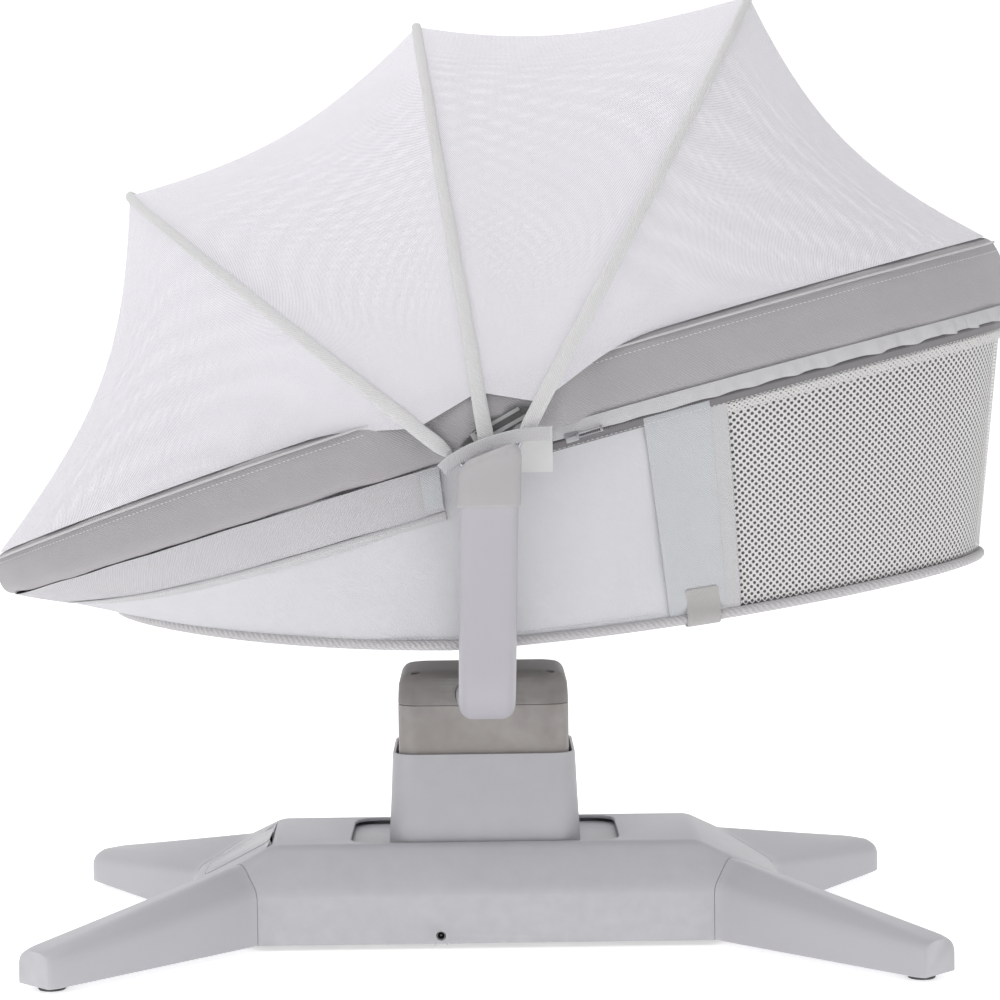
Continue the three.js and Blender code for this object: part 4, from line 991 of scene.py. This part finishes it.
def wall_point(angle, share, inset=0.0, bow=0.0):
    """A point on the basket wall, from share 0 under the rim to 1 at the floor. bow pushes it out."""
    top = rim_point(angle, 0.012 + inset, -1, -0.0015)
    bottom = floor_point(angle, inset)
    pushed = outward_way(angle) * np.asarray(bow)[..., None]
    return top + (bottom - top) * np.asarray(share)[..., None] + pushed


def outward_way(angle):
    ahead, behind = floor_point(angle + 0.004, 0), floor_point(angle - 0.004, 0)
    way = np.stack([ahead[..., 1] - behind[..., 1], behind[..., 0] - ahead[..., 0],
                    np.zeros(np.shape(angle))], axis=-1)
    return way / np.linalg.norm(way, axis=-1)[..., None]


def wall_grid(start, stop, columns, shares, out=0.0):
    angles = even_angles(start, stop, columns)
    from_head = (np.degrees(angles) + 180) % 360 - 180
    lean = np.radians(from_head) * WALL_SKEW * np.clip((88 - np.abs(from_head)) / 12, 0, 1)
    rows = []
    for angle, skew in zip(angles, lean):
        skewed = angle + skew * (1 - np.array(shares))
        rows.append(wall_point(skewed, shares, 0.0, np.full(len(shares), out)))
    return np.array(rows)


def sheet_size(grid):
    """The (width, length) that a nearly flat grid of cloth was cut to."""
    along = np.linalg.norm(np.diff(grid, axis=0), axis=2).sum(axis=0).mean()
    across = np.linalg.norm(np.diff(grid, axis=1), axis=2).sum(axis=1).mean()
    return round(float(across), 3), round(float(along), 3)


foot_shares = np.linspace(0, 1, 26)
foot_wall = wall_grid(WINDOW_ANGLE, 360 - WINDOW_ANGLE, 300, foot_shares)
foot_wall = wavy(foot_wall, 0.07, 0.0022, 5.0)
foot_panel = cloth_grid("side_panel", foot_wall, side_cloth)
dressed(foot_panel, "side_twill", "bassinet", "basket_shell")


def wall_band(name, start, stop, low_share, high_share, out, material, columns=260, rows=6):
    """A band sewn flat on the wall, a little proud of it, with both its long edges turned in."""
    shares = np.linspace(low_share, high_share, rows)
    outs = np.full(rows, out)
    outs[0], outs[-1] = out * 0.25, out * 0.25
    ways = outward_way(even_angles(start, stop, columns))
    grid = wall_grid(start, stop, columns, shares) + ways[:, None, :] * outs[None, :, None]
    band = cloth_grid(name, grid, material)
    dressed(band, "rim_twill", "bassinet")
    return band, grid


SKIRT_DEPTH = 0.040


def wall_drop(angles):
    return np.linalg.norm(wall_point(angles, 1.0) - wall_point(angles, 0.0), axis=-1)


def skirt_share(angles):
    return np.clip(SKIRT_DEPTH / wall_drop(angles), 0, 0.92)


skirt_angles = even_angles(94.1, 265.9, 300)
skirt_rows = []
for level, out in ((0.0, 0.002), (0.25, 0.0034), (0.5, 0.004), (0.75, 0.0036), (1.0, 0.0028), (1.0, 0.0006)):
    skirt_rows.append(wall_point(skirt_angles, skirt_share(skirt_angles) * level)
                      + outward_way(skirt_angles) * out)
skirt_grid = wavy(np.array(skirt_rows).transpose(1, 0, 2), 0.05, 0.001, 14.0)
skirt = cloth_grid("skirt_band", skirt_grid, skirt_twill)
dressed(skirt, "side_twill", "bassinet")

seam_rows = []
for extra, out in ((0.0005, 0.0006), (0.0015, 0.0022), (0.005, 0.0024), (0.0085, 0.002), (0.0092, 0.0005)):
    share = skirt_share(skirt_angles) * (SKIRT_DEPTH + extra) / SKIRT_DEPTH
    seam_rows.append(wall_point(skirt_angles, np.minimum(share, 0.99)) + outward_way(skirt_angles) * out)
seam_grid = np.array(seam_rows).transpose(1, 0, 2)
seam_band = cloth_grid("skirt_seam_band", seam_grid, band_twill)
dressed(seam_band, "side_twill", "bassinet")
skirt_end_share = float(skirt_share(math.radians(95.0)))
for side_name, side in SIDES:
    end_strip, _ = wall_band(f"skirt_end_strip_{side_name}", side * 94.2, side * 96.2, 0.0,
                             skirt_end_share, 0.005, panel_twill, 8, 8)


# ---- Mesh window -----------------------------------------------------------------------------------
# The head half of the wall is a breathable knitted mesh with staggered round holes, over a thin grey
# lining. Narrow strips of a closer mesh border its top and its ends, and a twill panel joins it to the
# side panels.
def holed_cloth(name, start, stop, low_share, high_share, pitch, hole, material, out=0.0, drop_range=None):
    """Cloth with a staggered hole at each point of a grid, between two angles and two wall shares."""
    angles = even_angles(start, stop, 600)
    lengths = run_along(rim_point(angles, 0.02))
    columns = int(lengths[-1] / pitch[0])
    step_u = lengths[-1] / columns
    rows = int(float(wall_drop(angles).max()) / pitch[1]) + 1
    row, column = np.meshgrid(np.arange(rows), np.arange(columns), indexing="ij")
    middle_u = (column + 0.25 + 0.5 * (row % 2)) * step_u
    middle_v = (row + 0.5) * pitch[1]
    rim_u = np.array([1, 0.5, 0, -0.5, -1, -0.5, 0, 0.5]) * step_u / 2
    rim_v = np.array([0, 0.5, 1, 0.5, 0, -0.5, -1, -0.5]) * pitch[1]
    turns = np.arctan2(rim_v, rim_u)
    hole_u, hole_v = hole / 2 * np.cos(turns), hole / 2 * np.sin(turns)
    cell_u = middle_u.reshape(-1, 1) + np.concatenate([rim_u, hole_u])
    cell_v = middle_v.reshape(-1, 1) + np.concatenate([rim_v, hole_v])
    cell_angle = np.interp(cell_u, lengths, angles)
    drop = wall_drop(cell_angle)
    if drop_range:
        share = (cell_v + drop_range[0]) / drop
        kept = (cell_v + drop_range[0]).max(axis=1) < drop_range[1]
    else:
        share = 1 - cell_v / drop
        kept = (share.max(axis=1) < high_share + 0.01) & (share.min(axis=1) > low_share - 0.01)
    kept &= (cell_u.min(axis=1) > -1e-6) & (cell_u.max(axis=1) < lengths[-1] + 1e-6)
    cell_u, cell_v, cell_angle, share = cell_u[kept], cell_v[kept], cell_angle[kept], share[kept]
    skewed = cell_angle * (1 + WALL_SKEW * (1 - share))
    places = wall_point(skewed, share, 0.0, np.full(share.shape, out))
    first = np.arange(len(cell_u))[:, None] * 16
    side = np.arange(8)[None, :]
    faces = np.stack([first + side, first + (side + 1) % 8, first + 8 + (side + 1) % 8, first + 8 + side],
                     axis=-1)
    faces = faces.reshape(-1, 4)
    piece = mesh_object(name, places.reshape(-1, 3), faces.tolist(), material)
    layer = piece.data.uv_layers.new(name="cloth")
    flat_uv = np.stack([cell_u.reshape(-1), cell_v.reshape(-1)], axis=-1)[faces.reshape(-1)]
    layer.data.foreach_set("uv", flat_uv.reshape(-1).astype(np.float32))
    return reworked(piece, join_points(1e-5))


window_knit = cloth("mesh_cloth", (226, 225, 224), 0.0012, 0.08, 0.1, 0.0001)
window_mesh = holed_cloth("window_mesh", -WINDOW_ANGLE, WINDOW_ANGLE, 0.06, 0.975, (0.0062, 0.0032), 0.0031,
                          window_knit)
window_size = sheet_size(wall_grid(-WINDOW_ANGLE, WINDOW_ANGLE, 80, np.linspace(0, 1, 6)))
dressed(window_mesh, "mesh_cloth", "bassinet", "mesh_window")

lining_grid = wall_grid(-WINDOW_ANGLE, WINDOW_ANGLE, 160, np.linspace(0.02, 0.98, 12), -0.004)
lining_cloth = cloth("lining_cloth", (152, 149, 152), 0.0012, 0.08, 0.1, 0.0001)
lining = cloth_grid("window_lining", lining_grid, lining_cloth)
dressed(lining, "mesh_cloth", "bassinet")

top_strip = holed_cloth("window_top_strip", -WINDOW_ANGLE, WINDOW_ANGLE, 0, 1, (0.0044, 0.0022), 0.0016,
                        window_knit, 0.0016, (0.017, 0.029))
dressed(top_strip, "mesh_cloth", "bassinet")

for side_name, side in SIDES:
    twill_panel, panel_grid = wall_band(f"twill_panel_{side_name}", side * 68.4, side * 75.0, 0.0, 0.985,
                                        0.0026, panel_twill, 14, 22)
    strip, _ = wall_band(f"window_end_strip_{side_name}", side * 66.6, side * 68.6, 0.02, 0.985, 0.0022,
                         band_twill, 6, 30)
    sheet_size(panel_grid.transpose(1, 0, 2))


# ---- Hem, zipper and pipings -----------------------------------------------------------------------
# Under the rim cover a loose hem is gathered into a small ruffle round the head. A coil zipper runs
# below it on a grey tape, and a twill-covered piping edges the floor.
ruffle_angles = even_angles(-86, 86, 1100)
ruffle_run = run_along(rim_point(ruffle_angles, 0.0))
strength = 0.15 + 0.85 * np.clip((1 - np.abs(np.degrees(ruffle_angles)) / 86) * 2.2, 0, 1)
phase = ruffle_run / 0.0195 * 2 * math.pi + 1.6 * np.sin(ruffle_run * 31) + 1.1 * np.sin(ruffle_run * 77 + 1)
RUFFLE_DEPTH = 0.0125
ruffle_rows = []
for level in np.linspace(0, 1, 9):
    out = 0.0018 + 0.0030 * level ** 1.1 * strength * np.sin(phase) + 0.0006 * np.sin(level * math.pi)
    slump = -RUFFLE_DEPTH * level + 0.0011 * level * strength * np.sin(phase * 0.5 + 0.7)
    outer = rim_point(ruffle_angles, 0.0035, -0.86, 0.0) + outward_way(ruffle_angles) * out[:, None]
    ruffle_rows.append(outer + slump[:, None] * rim_normal)
ruffle_grid = np.array(ruffle_rows).transpose(1, 0, 2)
ruffle = cloth_grid("hem_ruffle", ruffle_grid, band_twill)
dressed(ruffle, "rim_twill", "bassinet")

zip_tape = cloth("zip_tape", (140, 137, 141), 0.0012, 0.1, 0.08)
zip_painted_shadow = cloth("zip_shadow", (92, 90, 91), 0.0012, 0.1, 0.05)


def drop_grid(start, stop, columns, levels):
    """A grid that follows the wall's top edge: levels are (drop below the edge, distance out)."""
    angles = even_angles(start, stop, columns)
    down = wall_point(angles, 1.0) - wall_point(angles, 0.0)
    down /= np.linalg.norm(down, axis=-1)[:, None]
    ways = outward_way(angles)
    rows = [wall_point(angles, 0.0) + down * drop + ways * out for drop, out in levels]
    return np.array(rows).transpose(1, 0, 2)


tape_grid = drop_grid(-86, 86, 420, [(0.0, 0.0004), (0.001, 0.0022), (0.007, 0.0026), (0.016, 0.0022),
                                     (0.017, 0.0006)])
tape = cloth_grid("zip_tape_band", tape_grid, zip_tape)
dressed(tape, "side_twill", "bassinet")
# Painted shadow: a dark strip along the zipper's slit, under the coil, stands for the shade in the gap.
slit_grid = drop_grid(-86, 86, 420, [(0.0068, 0.0026), (0.0072, 0.0031), (0.0092, 0.0031), (0.0096, 0.0025)])
slit = cloth_grid("zip_slit", slit_grid, zip_painted_shadow)
dressed(slit, "dark_plastic", "bassinet")


def rows_tree():
    """Geometry nodes that set small capsules in a row along a line."""
    tree = bpy.data.node_groups.new("capsule_row", "GeometryNodeTree")
    tree.interface.new_socket(name="Line", in_out="INPUT", socket_type="NodeSocketGeometry")
    for title in ("Spacing", "Length", "Width"):
        tree.interface.new_socket(name=title, in_out="INPUT", socket_type="NodeSocketFloat")
    tree.interface.new_socket(name="Finish", in_out="INPUT", socket_type="NodeSocketMaterial")
    tree.interface.new_socket(name="Row", in_out="OUTPUT", socket_type="NodeSocketGeometry")
    start = tree.nodes.new("NodeGroupInput").outputs
    curve = tree.nodes.new("GeometryNodeMeshToCurve")
    tree.links.new(start["Line"], curve.inputs["Mesh"])
    spaced = tree.nodes.new("GeometryNodeResampleCurve")
    spaced.mode = "LENGTH"
    tree.links.new(curve.outputs["Curve"], spaced.inputs["Curve"])
    tree.links.new(start["Spacing"], spaced.inputs["Length"])
    capsule = tree.nodes.new("GeometryNodeMeshUVSphere")
    capsule.inputs["Segments"].default_value = 6
    capsule.inputs["Rings"].default_value = 4
    capsule.inputs["Radius"].default_value = 0.5
    turned_way = tree.nodes.new("FunctionNodeAlignRotationToVector")
    turned_way.axis = "X"
    tree.links.new(tree.nodes.new("GeometryNodeInputTangent").outputs[0], turned_way.inputs["Vector"])
    size = tree.nodes.new("ShaderNodeCombineXYZ")
    tree.links.new(start["Length"], size.inputs[0])
    tree.links.new(start["Width"], size.inputs[1])
    tree.links.new(start["Width"], size.inputs[2])
    placed = tree.nodes.new("GeometryNodeInstanceOnPoints")
    tree.links.new(spaced.outputs["Curve"], placed.inputs["Points"])
    tree.links.new(capsule.outputs["Mesh"], placed.inputs["Instance"])
    tree.links.new(turned_way.outputs[0], placed.inputs["Rotation"])
    tree.links.new(size.outputs[0], placed.inputs["Scale"])
    whole = tree.nodes.new("GeometryNodeRealizeInstances")
    tree.links.new(placed.outputs["Instances"], whole.inputs["Geometry"])
    painted = tree.nodes.new("GeometryNodeSetMaterial")
    tree.links.new(whole.outputs["Geometry"], painted.inputs["Geometry"])
    tree.links.new(start["Finish"], painted.inputs["Material"])
    tree.links.new(painted.outputs["Geometry"], tree.nodes.new("NodeGroupOutput").inputs["Row"])
    return tree


capsule_row = rows_tree()


def capsule_rows(name, lines, spacing, length, width, material, slot, body):
    """Stitches or zipper coils along one or more lines, as one mesh."""
    points, edges = [], []
    for line in lines:
        edges += [(len(points) + index, len(points) + index + 1) for index in range(len(line) - 1)]
        points += [tuple(point) for point in line]
    mesh = bpy.data.meshes.new(name)
    mesh.from_pydata(points, edges, [])
    piece = bpy.data.objects.new(name, mesh)
    bpy.context.scene.collection.objects.link(piece)
    nodes = piece.modifiers.new("row", "NODES")
    nodes.node_group = capsule_row
    named = {item.name: item.identifier for item in capsule_row.interface.items_tree
             if item.in_out == "INPUT"}
    for title, value in (("Spacing", spacing), ("Length", length), ("Width", width), ("Finish", material)):
        nodes[named[title]] = value
    bake_modifiers(piece)
    piece.data.polygons.foreach_set("use_smooth", [True] * len(piece.data.polygons))
    return dressed(piece, slot, body)


coil_lines = [drop_grid(-84, 84, 500, [(drop, 0.0031)])[:, 0] for drop in (0.0076, 0.0088)]
coil = capsule_rows("zip_coil", coil_lines, 0.0016, 0.0009, 0.0014, zip_tape, "side_twill", "bassinet")
thread = plastic("sewing_thread", (228, 228, 228), 0.7, 0.0004, 0.0)
stitch_lines = [rim_point(even_angles(0, 359.9, 900), 0.0002, 0.56),
                seam_grid[:, 2] + outward_way(skirt_angles) * 0.0002,
                drop_grid(-86, 86, 500, [(0.0154, 0.0026)])[:, 0]]
seam_thread = capsule_rows("seam_stitches", stitch_lines, 0.0042, 0.0029, 0.0007, thread, "rim_twill",
                           "bassinet")

piping_twill = cloth("piping_twill", (200, 198, 200), 0.0052, 0.16, 0.15, 0.0006)
piping_line = floor_point(even_angles(0, 360, 420, endless=True), -0.0015, 0.0005)
piping = line_tube("floor_piping", piping_line, 0.0044, piping_twill, True, 14)
dressed(piping, "rim_twill", "bassinet")
piping_stitch = wall_point(even_angles(0, 359.9, 900), np.full(900, 0.955), 0.0, np.full(900, 0.0006))
piping_thread = capsule_rows("piping_stitches", [piping_stitch], 0.004, 0.0028, 0.0007, thread,
                             "side_twill", "bassinet")

slider_at = rim_point(np.array([math.radians(-84.6)]), 0.002, -1, -0.009)[0]


def slider_block(work, shift_x, shift_y, shift_z, length, depth, height, soft=0.0006):
    cube = bmesh.ops.create_cube(work, size=1, matrix=Matrix.Translation((shift_x, shift_y, shift_z))
                                 @ Matrix.Diagonal((length, depth, height, 1)))
    edges = list({edge for vert in cube["verts"] for edge in vert.link_edges})
    bmesh.ops.bevel(work, geom=edges, offset=soft, segments=2, profile=0.5, affect="EDGES")


work = bmesh.new()
slider_block(work, 0, 0.0012, 0, 0.0115, 0.0012, 0.0085)
slider_block(work, 0, -0.0012, 0, 0.0115, 0.0012, 0.0085)
slider_block(work, -0.0035, 0, 0, 0.003, 0.003, 0.004)
slider_block(work, 0.0005, -0.0028, 0, 0.008, 0.0012, 0.0022)
for level in (-0.0019, 0.0019):
    slider_block(work, 0.0155, -0.0034, level, 0.022, 0.0012, 0.0011, 0.0003)
slider_block(work, 0.0052, -0.0034, 0, 0.0022, 0.0012, 0.0044, 0.0003)
slider_block(work, 0.0262, -0.0034, 0, 0.0026, 0.0014, 0.0056, 0.0005)
work.transform(Matrix.Translation(Vector(slider_at)) @ Matrix.Rotation(-rim_tilt, 4, "Y"))
slider = mesh_object("zip_slider", [], [], zinc)
finish_copy(slider, work, 40)
dressed(slider, "zinc", "zipper", "zipper_slider")


# ---- Straps ----------------------------------------------------------------------------------------
# A short loop of ribbed webbing at each side wraps under the floor piping, to tie the walls down.
webbing = cloth("webbing", (198, 196, 195), 0.0018, 0.22, 0.15, 0.0005)
for side_name, side in SIDES:
    rows = []
    for angle in side * np.radians(np.linspace(69.2, 73.2, 9)):
        base = floor_point(np.array(angle), 0.0)
        top = wall_point(np.array(angle * (1 + WALL_SKEW * 0.12)), 0.86)
        way = outward_way(np.array(angle))
        path = [top + way * 0.0034, base + way * 0.0036 + [0, 0, 0.014], base + way * 0.0068 + [0, 0, 0.005],
                base + way * 0.0076, base + way * 0.0062 - [0, 0, 0.0046],
                base + way * 0.0015 - [0, 0, 0.0062],
                base - way * 0.008 - [0, 0, 0.0046], base - way * 0.02 - [0, 0, 0.0036]]
        rows.append(path)
    rows = np.array(rows)
    strap = cloth_grid(f"strap_loop_{side_name}", rows, webbing)
    thick = strap.modifiers.new("thickness", "SOLIDIFY")
    thick.thickness = 0.0014
    thick.offset = 0
    smooth = strap.modifiers.new("smooth", "SUBSURF")
    smooth.levels = smooth.render_levels = 2
    bake_modifiers(strap)
    dressed(strap, "webbing", "bassinet", f"strap_{side_name}")


# ---- Floor and mattress ----------------------------------------------------------------------------
# A stiff board in a cloth pocket makes the floor. The mattress on it is a quilted foam pad that
# follows the floor's rise to the head end.
floor_middle = np.array([hub_x + 0.05, 0, 0])


def floor_disc(name, inset, lift, material, rings=24, columns=120):
    angles = even_angles(0, 360, columns, endless=True)
    grid = []
    for share in np.linspace(0.02, 1, rings):
        flat = floor_middle + (floor_point(angles, inset) - floor_middle) * share
        flat[:, 2] = floor_height(flat[:, 0]) + lift
        grid.append(flat)
    return cloth_grid(name, np.array(grid), material, closed_v=True)


floor_cloth = floor_disc("floor_cloth", 0.0, 0.0006, side_cloth)
dressed(floor_cloth, "side_twill", "bassinet")
glued_node("base_board", white_plastic)

mattress_cloth = cloth("mattress_cloth", (210, 208, 208), 0.0018, 0.08, 0.12, 0.0002)
mattress_angles = even_angles(0, 360, 150, endless=True)
PAD_INSET, PAD_UNDER, PAD_THICK = 0.017, 0.0085, 0.0225
QUILT_PITCH, QUILT_DEPTH = 55, 0.0016


def mattress_ring(share, level):
    """share runs out to the pad's edge, and level from its underside at 0 to its top at 1."""
    flat = floor_middle + (floor_point(mattress_angles, PAD_INSET) - floor_middle) * share
    lift = PAD_UNDER + PAD_THICK * level
    if level > 0.9:
        quilt = np.abs(np.sin((flat[:, 0] + flat[:, 1]) * QUILT_PITCH))
        quilt = quilt * np.abs(np.sin((flat[:, 0] - flat[:, 1]) * QUILT_PITCH))
        sewn_down = QUILT_DEPTH * (1 - np.clip(quilt * 1.6, 0, 1)) * np.clip((1 - share) * 12, 0, 1)
        lift = lift - sewn_down + 0.002 * (1 - share)
    flat[:, 2] = floor_height(flat[:, 0]) + lift
    return flat


under = [mattress_ring(share, 0) for share in np.linspace(0.02, 0.96, 10)]
edge = [mattress_ring(0.96 + 0.04 * math.sin(turn), 0.5 - 0.5 * math.cos(turn))
        for turn in np.linspace(0.3, 2.8, 9)]
over = [mattress_ring(share, 1) for share in np.linspace(0.96, 0.02, 60)]
pad = cloth_grid("quilted_mattress", np.array(under + edge + over), mattress_cloth, closed_v=True)
reworked(pad, close_holes, outwards)
dressed(pad, "mattress_cloth", "bassinet", "mattress")


# ---- Bows ------------------------------------------------------------------------------------------
# Three spring-steel hoops turn on the hub pins, their flat ends side by side. Each runs in a flat
# twill sleeve that the net is sewn to.
BOW_FIRST, BOW_PITCH, BOW_ROOT, BOW_POWER = 0.2359, 0.0054, 0.030, 2.5
BOW_ANGLES = (141.3, 98.9, 61.4)
BOW_HEIGHTS = (0.424, 0.421, 0.501)
BOW_BODIES = ("bow_1", "bow_2", "bow_3")


def bow_ways(index):
    turn = math.radians(BOW_ANGLES[index])
    return np.array([math.cos(turn), 0, math.sin(turn)]), np.array([-math.sin(turn), 0, math.cos(turn)])


def bow_point(index, angle, raised=0.0):
    """A point on a hoop: angle 0 is its near end and pi its far end."""
    power = 2 / BOW_POWER
    half = BOW_FIRST + index * BOW_PITCH
    across = -(half + raised) * np.sign(np.cos(angle)) * np.abs(np.cos(angle)) ** power
    out = (BOW_HEIGHTS[index] + raised) * np.abs(np.sin(angle)) ** power
    point = hub + out[..., None] * bow_ways(index)[0]
    point[..., 1] = across
    return point


def bow_line(index, distance, count):
    """Even points along a hoop, between the places that lie that far from the hub axis."""
    start = math.asin((distance / BOW_HEIGHTS[index]) ** (BOW_POWER / 2))
    fine = np.linspace(start, math.pi - start, 6001)
    run = run_along(bow_point(index, fine))
    return bow_point(index, np.interp(np.linspace(0, run[-1], count), run, fine))


sleeve_twill = cloth("sleeve_twill", (222, 221, 222), 0.0024, 0.13, 0.2)
LUG_PROFILE = [(5.25, -2.3), (11.6, -2.3), (12, -1.9), (12, 1.9), (11.6, 2.3), (5.25, 2.3)]
sleeves = []
for index, body in enumerate(BOW_BODIES):
    normal = bow_ways(index)[1]
    rod_line = bow_line(index, BOW_ROOT, 140)
    rise = np.cross(unit_ways(rod_line), normal)
    rod = [rod_line + 0.0025 * (normal * math.cos(turn) + rise * math.sin(turn))
           for turn in np.linspace(0, 2 * math.pi, 10, endpoint=False)]
    rod_piece = tube_object(f"{body}_rod", np.array(rod).transpose(1, 0, 2), steel, sharp=50)
    dressed(rod_piece, "steel", body, body)
    for side_name, side in SIDES:
        middle_y = side * (BOW_FIRST + index * BOW_PITCH)
        lug = turned(f"{body}_lug_{side_name}", LUG_PROFILE, (hub_x, middle_y, hub_z), steel, axis="Y")
        dressed(lug, "steel", body)
    line = bow_line(index, 0.043 if index == 1 else 0.047, 220)
    rise = np.cross(unit_ways(line), normal)
    run = np.minimum(np.arange(220), np.arange(220)[::-1]) / 110
    wide = 0.0042 + 0.0028 * (1 - run) ** 2
    tip = np.clip(run / 0.035, 0, 1) if index != 1 else np.ones(220)
    wide = wide * (0.45 + 0.55 * np.sin(tip * math.pi / 2))
    rings = []
    for turn in np.linspace(0, 2 * math.pi, 16, endpoint=False):
        flat_cos = math.copysign(abs(math.cos(turn)) ** 0.8, math.cos(turn))
        rings.append(line + normal * (wide[:, None] * flat_cos) + rise * 0.0033 * math.sin(turn))
    sleeve_grid = wavy(np.array(rings).transpose(1, 0, 2), 0.03, 0.0005, 20.0 + index)
    bow_sleeve = cloth_tube(f"{body}_sleeve", sleeve_grid, sleeve_twill)
    dressed(bow_sleeve, "net_cloth", body)
    sleeves.append([bow_sleeve])
    sewn = [line + normal * (wide[:, None] * 0.62 * way) - rise * 0.0027 for way in (-1, 1)]
    sewn += [line + normal * (wide[:, None] * 0.62 * way) + rise * 0.0027 for way in (-1, 1)]
    sleeves[index].append(capsule_rows(f"{body}_stitches", sewn, 0.0042, 0.0028, 0.0006, thread,
                                       "net_cloth", body))


# ---- Net canopy ------------------------------------------------------------------------------------
# Four panels of fine knitted net are stretched from the rim over the bows and back to the rim. Pulled
# tight between the hoops, each panel curves in towards the middle.
net_weave, given, result = effect_group(
    "net_weave", [("Colour", "Color"), ("Roughness", "Float"), ("Pitch", "Float"), ("Cover", "Float")],
    [("Colour", "Color"), ("Roughness", "Float"), ("Height", "Float"), ("Alpha", "Float")])
net_map = net_weave.nodes.new("ShaderNodeUVMap")
net_map.uv_map = "cloth"
net_parts = net_weave.nodes.new("ShaderNodeSeparateXYZ")
net_weave.links.new(net_map.outputs["UV"], net_parts.inputs[0])
knots = []
for axis in (0, 1):
    repeats = maths(net_weave, "DIVIDE", net_parts.outputs[axis], given["Pitch"])
    angle = maths(net_weave, "MULTIPLY", repeats, 2 * math.pi)
    knots.append(maths(net_weave, "COSINE", angle))
hole_shape = maths(net_weave, "MULTIPLY", knots[0], knots[1])
uneven_cover = noise_value(net_weave, net_map.outputs["UV"], 14.0, 3.0)
opening = remap(net_weave, hole_shape, 0.25, 0.7, 0.0, 1.0)
let_through = maths(net_weave, "MULTIPLY", opening, maths(net_weave, "SUBTRACT", 1.0, given["Cover"]))
seen = maths(net_weave, "SUBTRACT", 1.0, let_through)
uneven = maths(net_weave, "SUBTRACT", uneven_cover, 0.5)
plug(net_weave, maths(net_weave, "MULTIPLY_ADD", uneven, 0.06, seen), result["Alpha"])
knot_shade = remap(net_weave, hole_shape, -1, 1, 1.02, 0.93)
plug(net_weave, scaled_colour(net_weave, given["Colour"], knot_shade), result["Colour"])
plug(net_weave, given["Roughness"], result["Roughness"])
plug(net_weave, hole_shape, result["Height"])
net_values = {"Colour": linear(241, 239, 245), "Roughness": 0.75, "Pitch": 0.0017, "Cover": 0.38}
net_cloth = effect_material("net_cloth", net_weave, net_values, 0.00015)

NET_START, NET_GAP, NET_COLUMNS = 0.084, 0.0012, 110
NET_SAG = (0.034, 0.024, 0.020, 0.030)


def rim_edge(start, stop, count):
    angles = np.radians(np.linspace(start, stop, count))
    return rim_point(angles, 0.0065, 0.97, 0.0)


def bow_edge(index, count):
    start = math.asin((NET_START / BOW_HEIGHTS[index]) ** (BOW_POWER / 2))
    return bow_point(index, start + (math.pi - 2 * start) * np.linspace(0, 1, count))


def net_panel(name, first, second, sag, node):
    """A net from one line of points to the next, pulled in towards the hub by the sag."""
    clear = np.clip(NET_GAP / np.linalg.norm(first - second, axis=1), 0, 0.2)
    belly = np.sin(np.pi * np.linspace(0, 1, len(first)))
    grid = []
    for share in np.linspace(0, 1, 30):
        level = clear + (1 - 2 * clear) * share
        point = first * (1 - level)[:, None] + second * level[:, None]
        pull = 4 * level * (1 - level) * sag * belly
        inward = hub - point
        inward /= np.linalg.norm(inward, axis=1)[:, None]
        grid.append(point + inward * pull[:, None])
    grid = np.array(grid).transpose(1, 0, 2)
    panel = cloth_grid(name, grid, net_cloth)
    reworked(panel, outwards)
    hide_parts(node)
    return panel


bow_edges = [bow_edge(index, NET_COLUMNS) for index in range(3)]
foot_net = net_panel("foot_net", rim_edge(-104, -256, NET_COLUMNS), bow_edges[0], NET_SAG[0],
                     "net_foot")
middle_foot_net = net_panel("middle_foot_net", bow_edges[0], bow_edges[1], NET_SAG[1], "net_middle_foot")
middle_head_net = net_panel("middle_head_net", bow_edges[1], bow_edges[2], NET_SAG[2], "net_middle_head")
head_net = net_panel("head_net", bow_edges[2], rim_edge(-78, 78, NET_COLUMNS), NET_SAG[3], "net_head")
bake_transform(foot_net)
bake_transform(middle_foot_net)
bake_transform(middle_head_net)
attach(head_net, "bow_3")
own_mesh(head_net)

# The net's bound lower edge crosses each hub as a twill strip, over the top of the hinge head.
BINDING_PATH = [(-33, 441, 254), (-24, 449, 256), (-10, 457, 259), (5, 463, 261), (20, 467.5, 261),
                (34, 470.4, 259), (48, 471.6, 256), (60, 471.6, 252)]
BINDING_HALF_WIDE, BINDING_HALF_THICK = 0.0058, 0.0009
for side_name, side in SIDES:
    nodes = np.array(BINDING_PATH, float)
    fine = np.linspace(0, len(nodes) - 1, 60)
    spline = np.stack([np.interp(fine, np.arange(len(nodes)), nodes[:, axis]) for axis in range(3)], axis=1)
    kernel = np.hanning(9) / np.hanning(9).sum()
    padded_line = np.concatenate([spline[:1].repeat(4, 0), spline, spline[-1:].repeat(4, 0)])
    spline = np.stack([np.convolve(padded_line[:, axis], kernel, "valid") for axis in range(3)], axis=1)
    line = np.stack([centre_x + spline[:, 0] / 1000, side * spline[:, 2] / 1000, spline[:, 1] / 1000], axis=1)
    up_way = np.cross(unit_ways(line), [0, side, 0]) * side
    up_way[:, 2] = np.abs(up_way[:, 2])
    up_way /= np.linalg.norm(up_way, axis=1)[:, None]
    rings = []
    for turn in np.linspace(0, 2 * math.pi, 14, endpoint=False):
        across = np.array([0, side, 0]) * BINDING_HALF_THICK * math.sin(turn)
        rings.append(line + up_way * BINDING_HALF_WIDE * math.cos(turn) + across)
    hub_strip = cloth_tube(f"net_binding_{side_name}", np.array(rings).transpose(1, 0, 2), band_twill)
    dressed(hub_strip, "net_cloth", "bassinet")
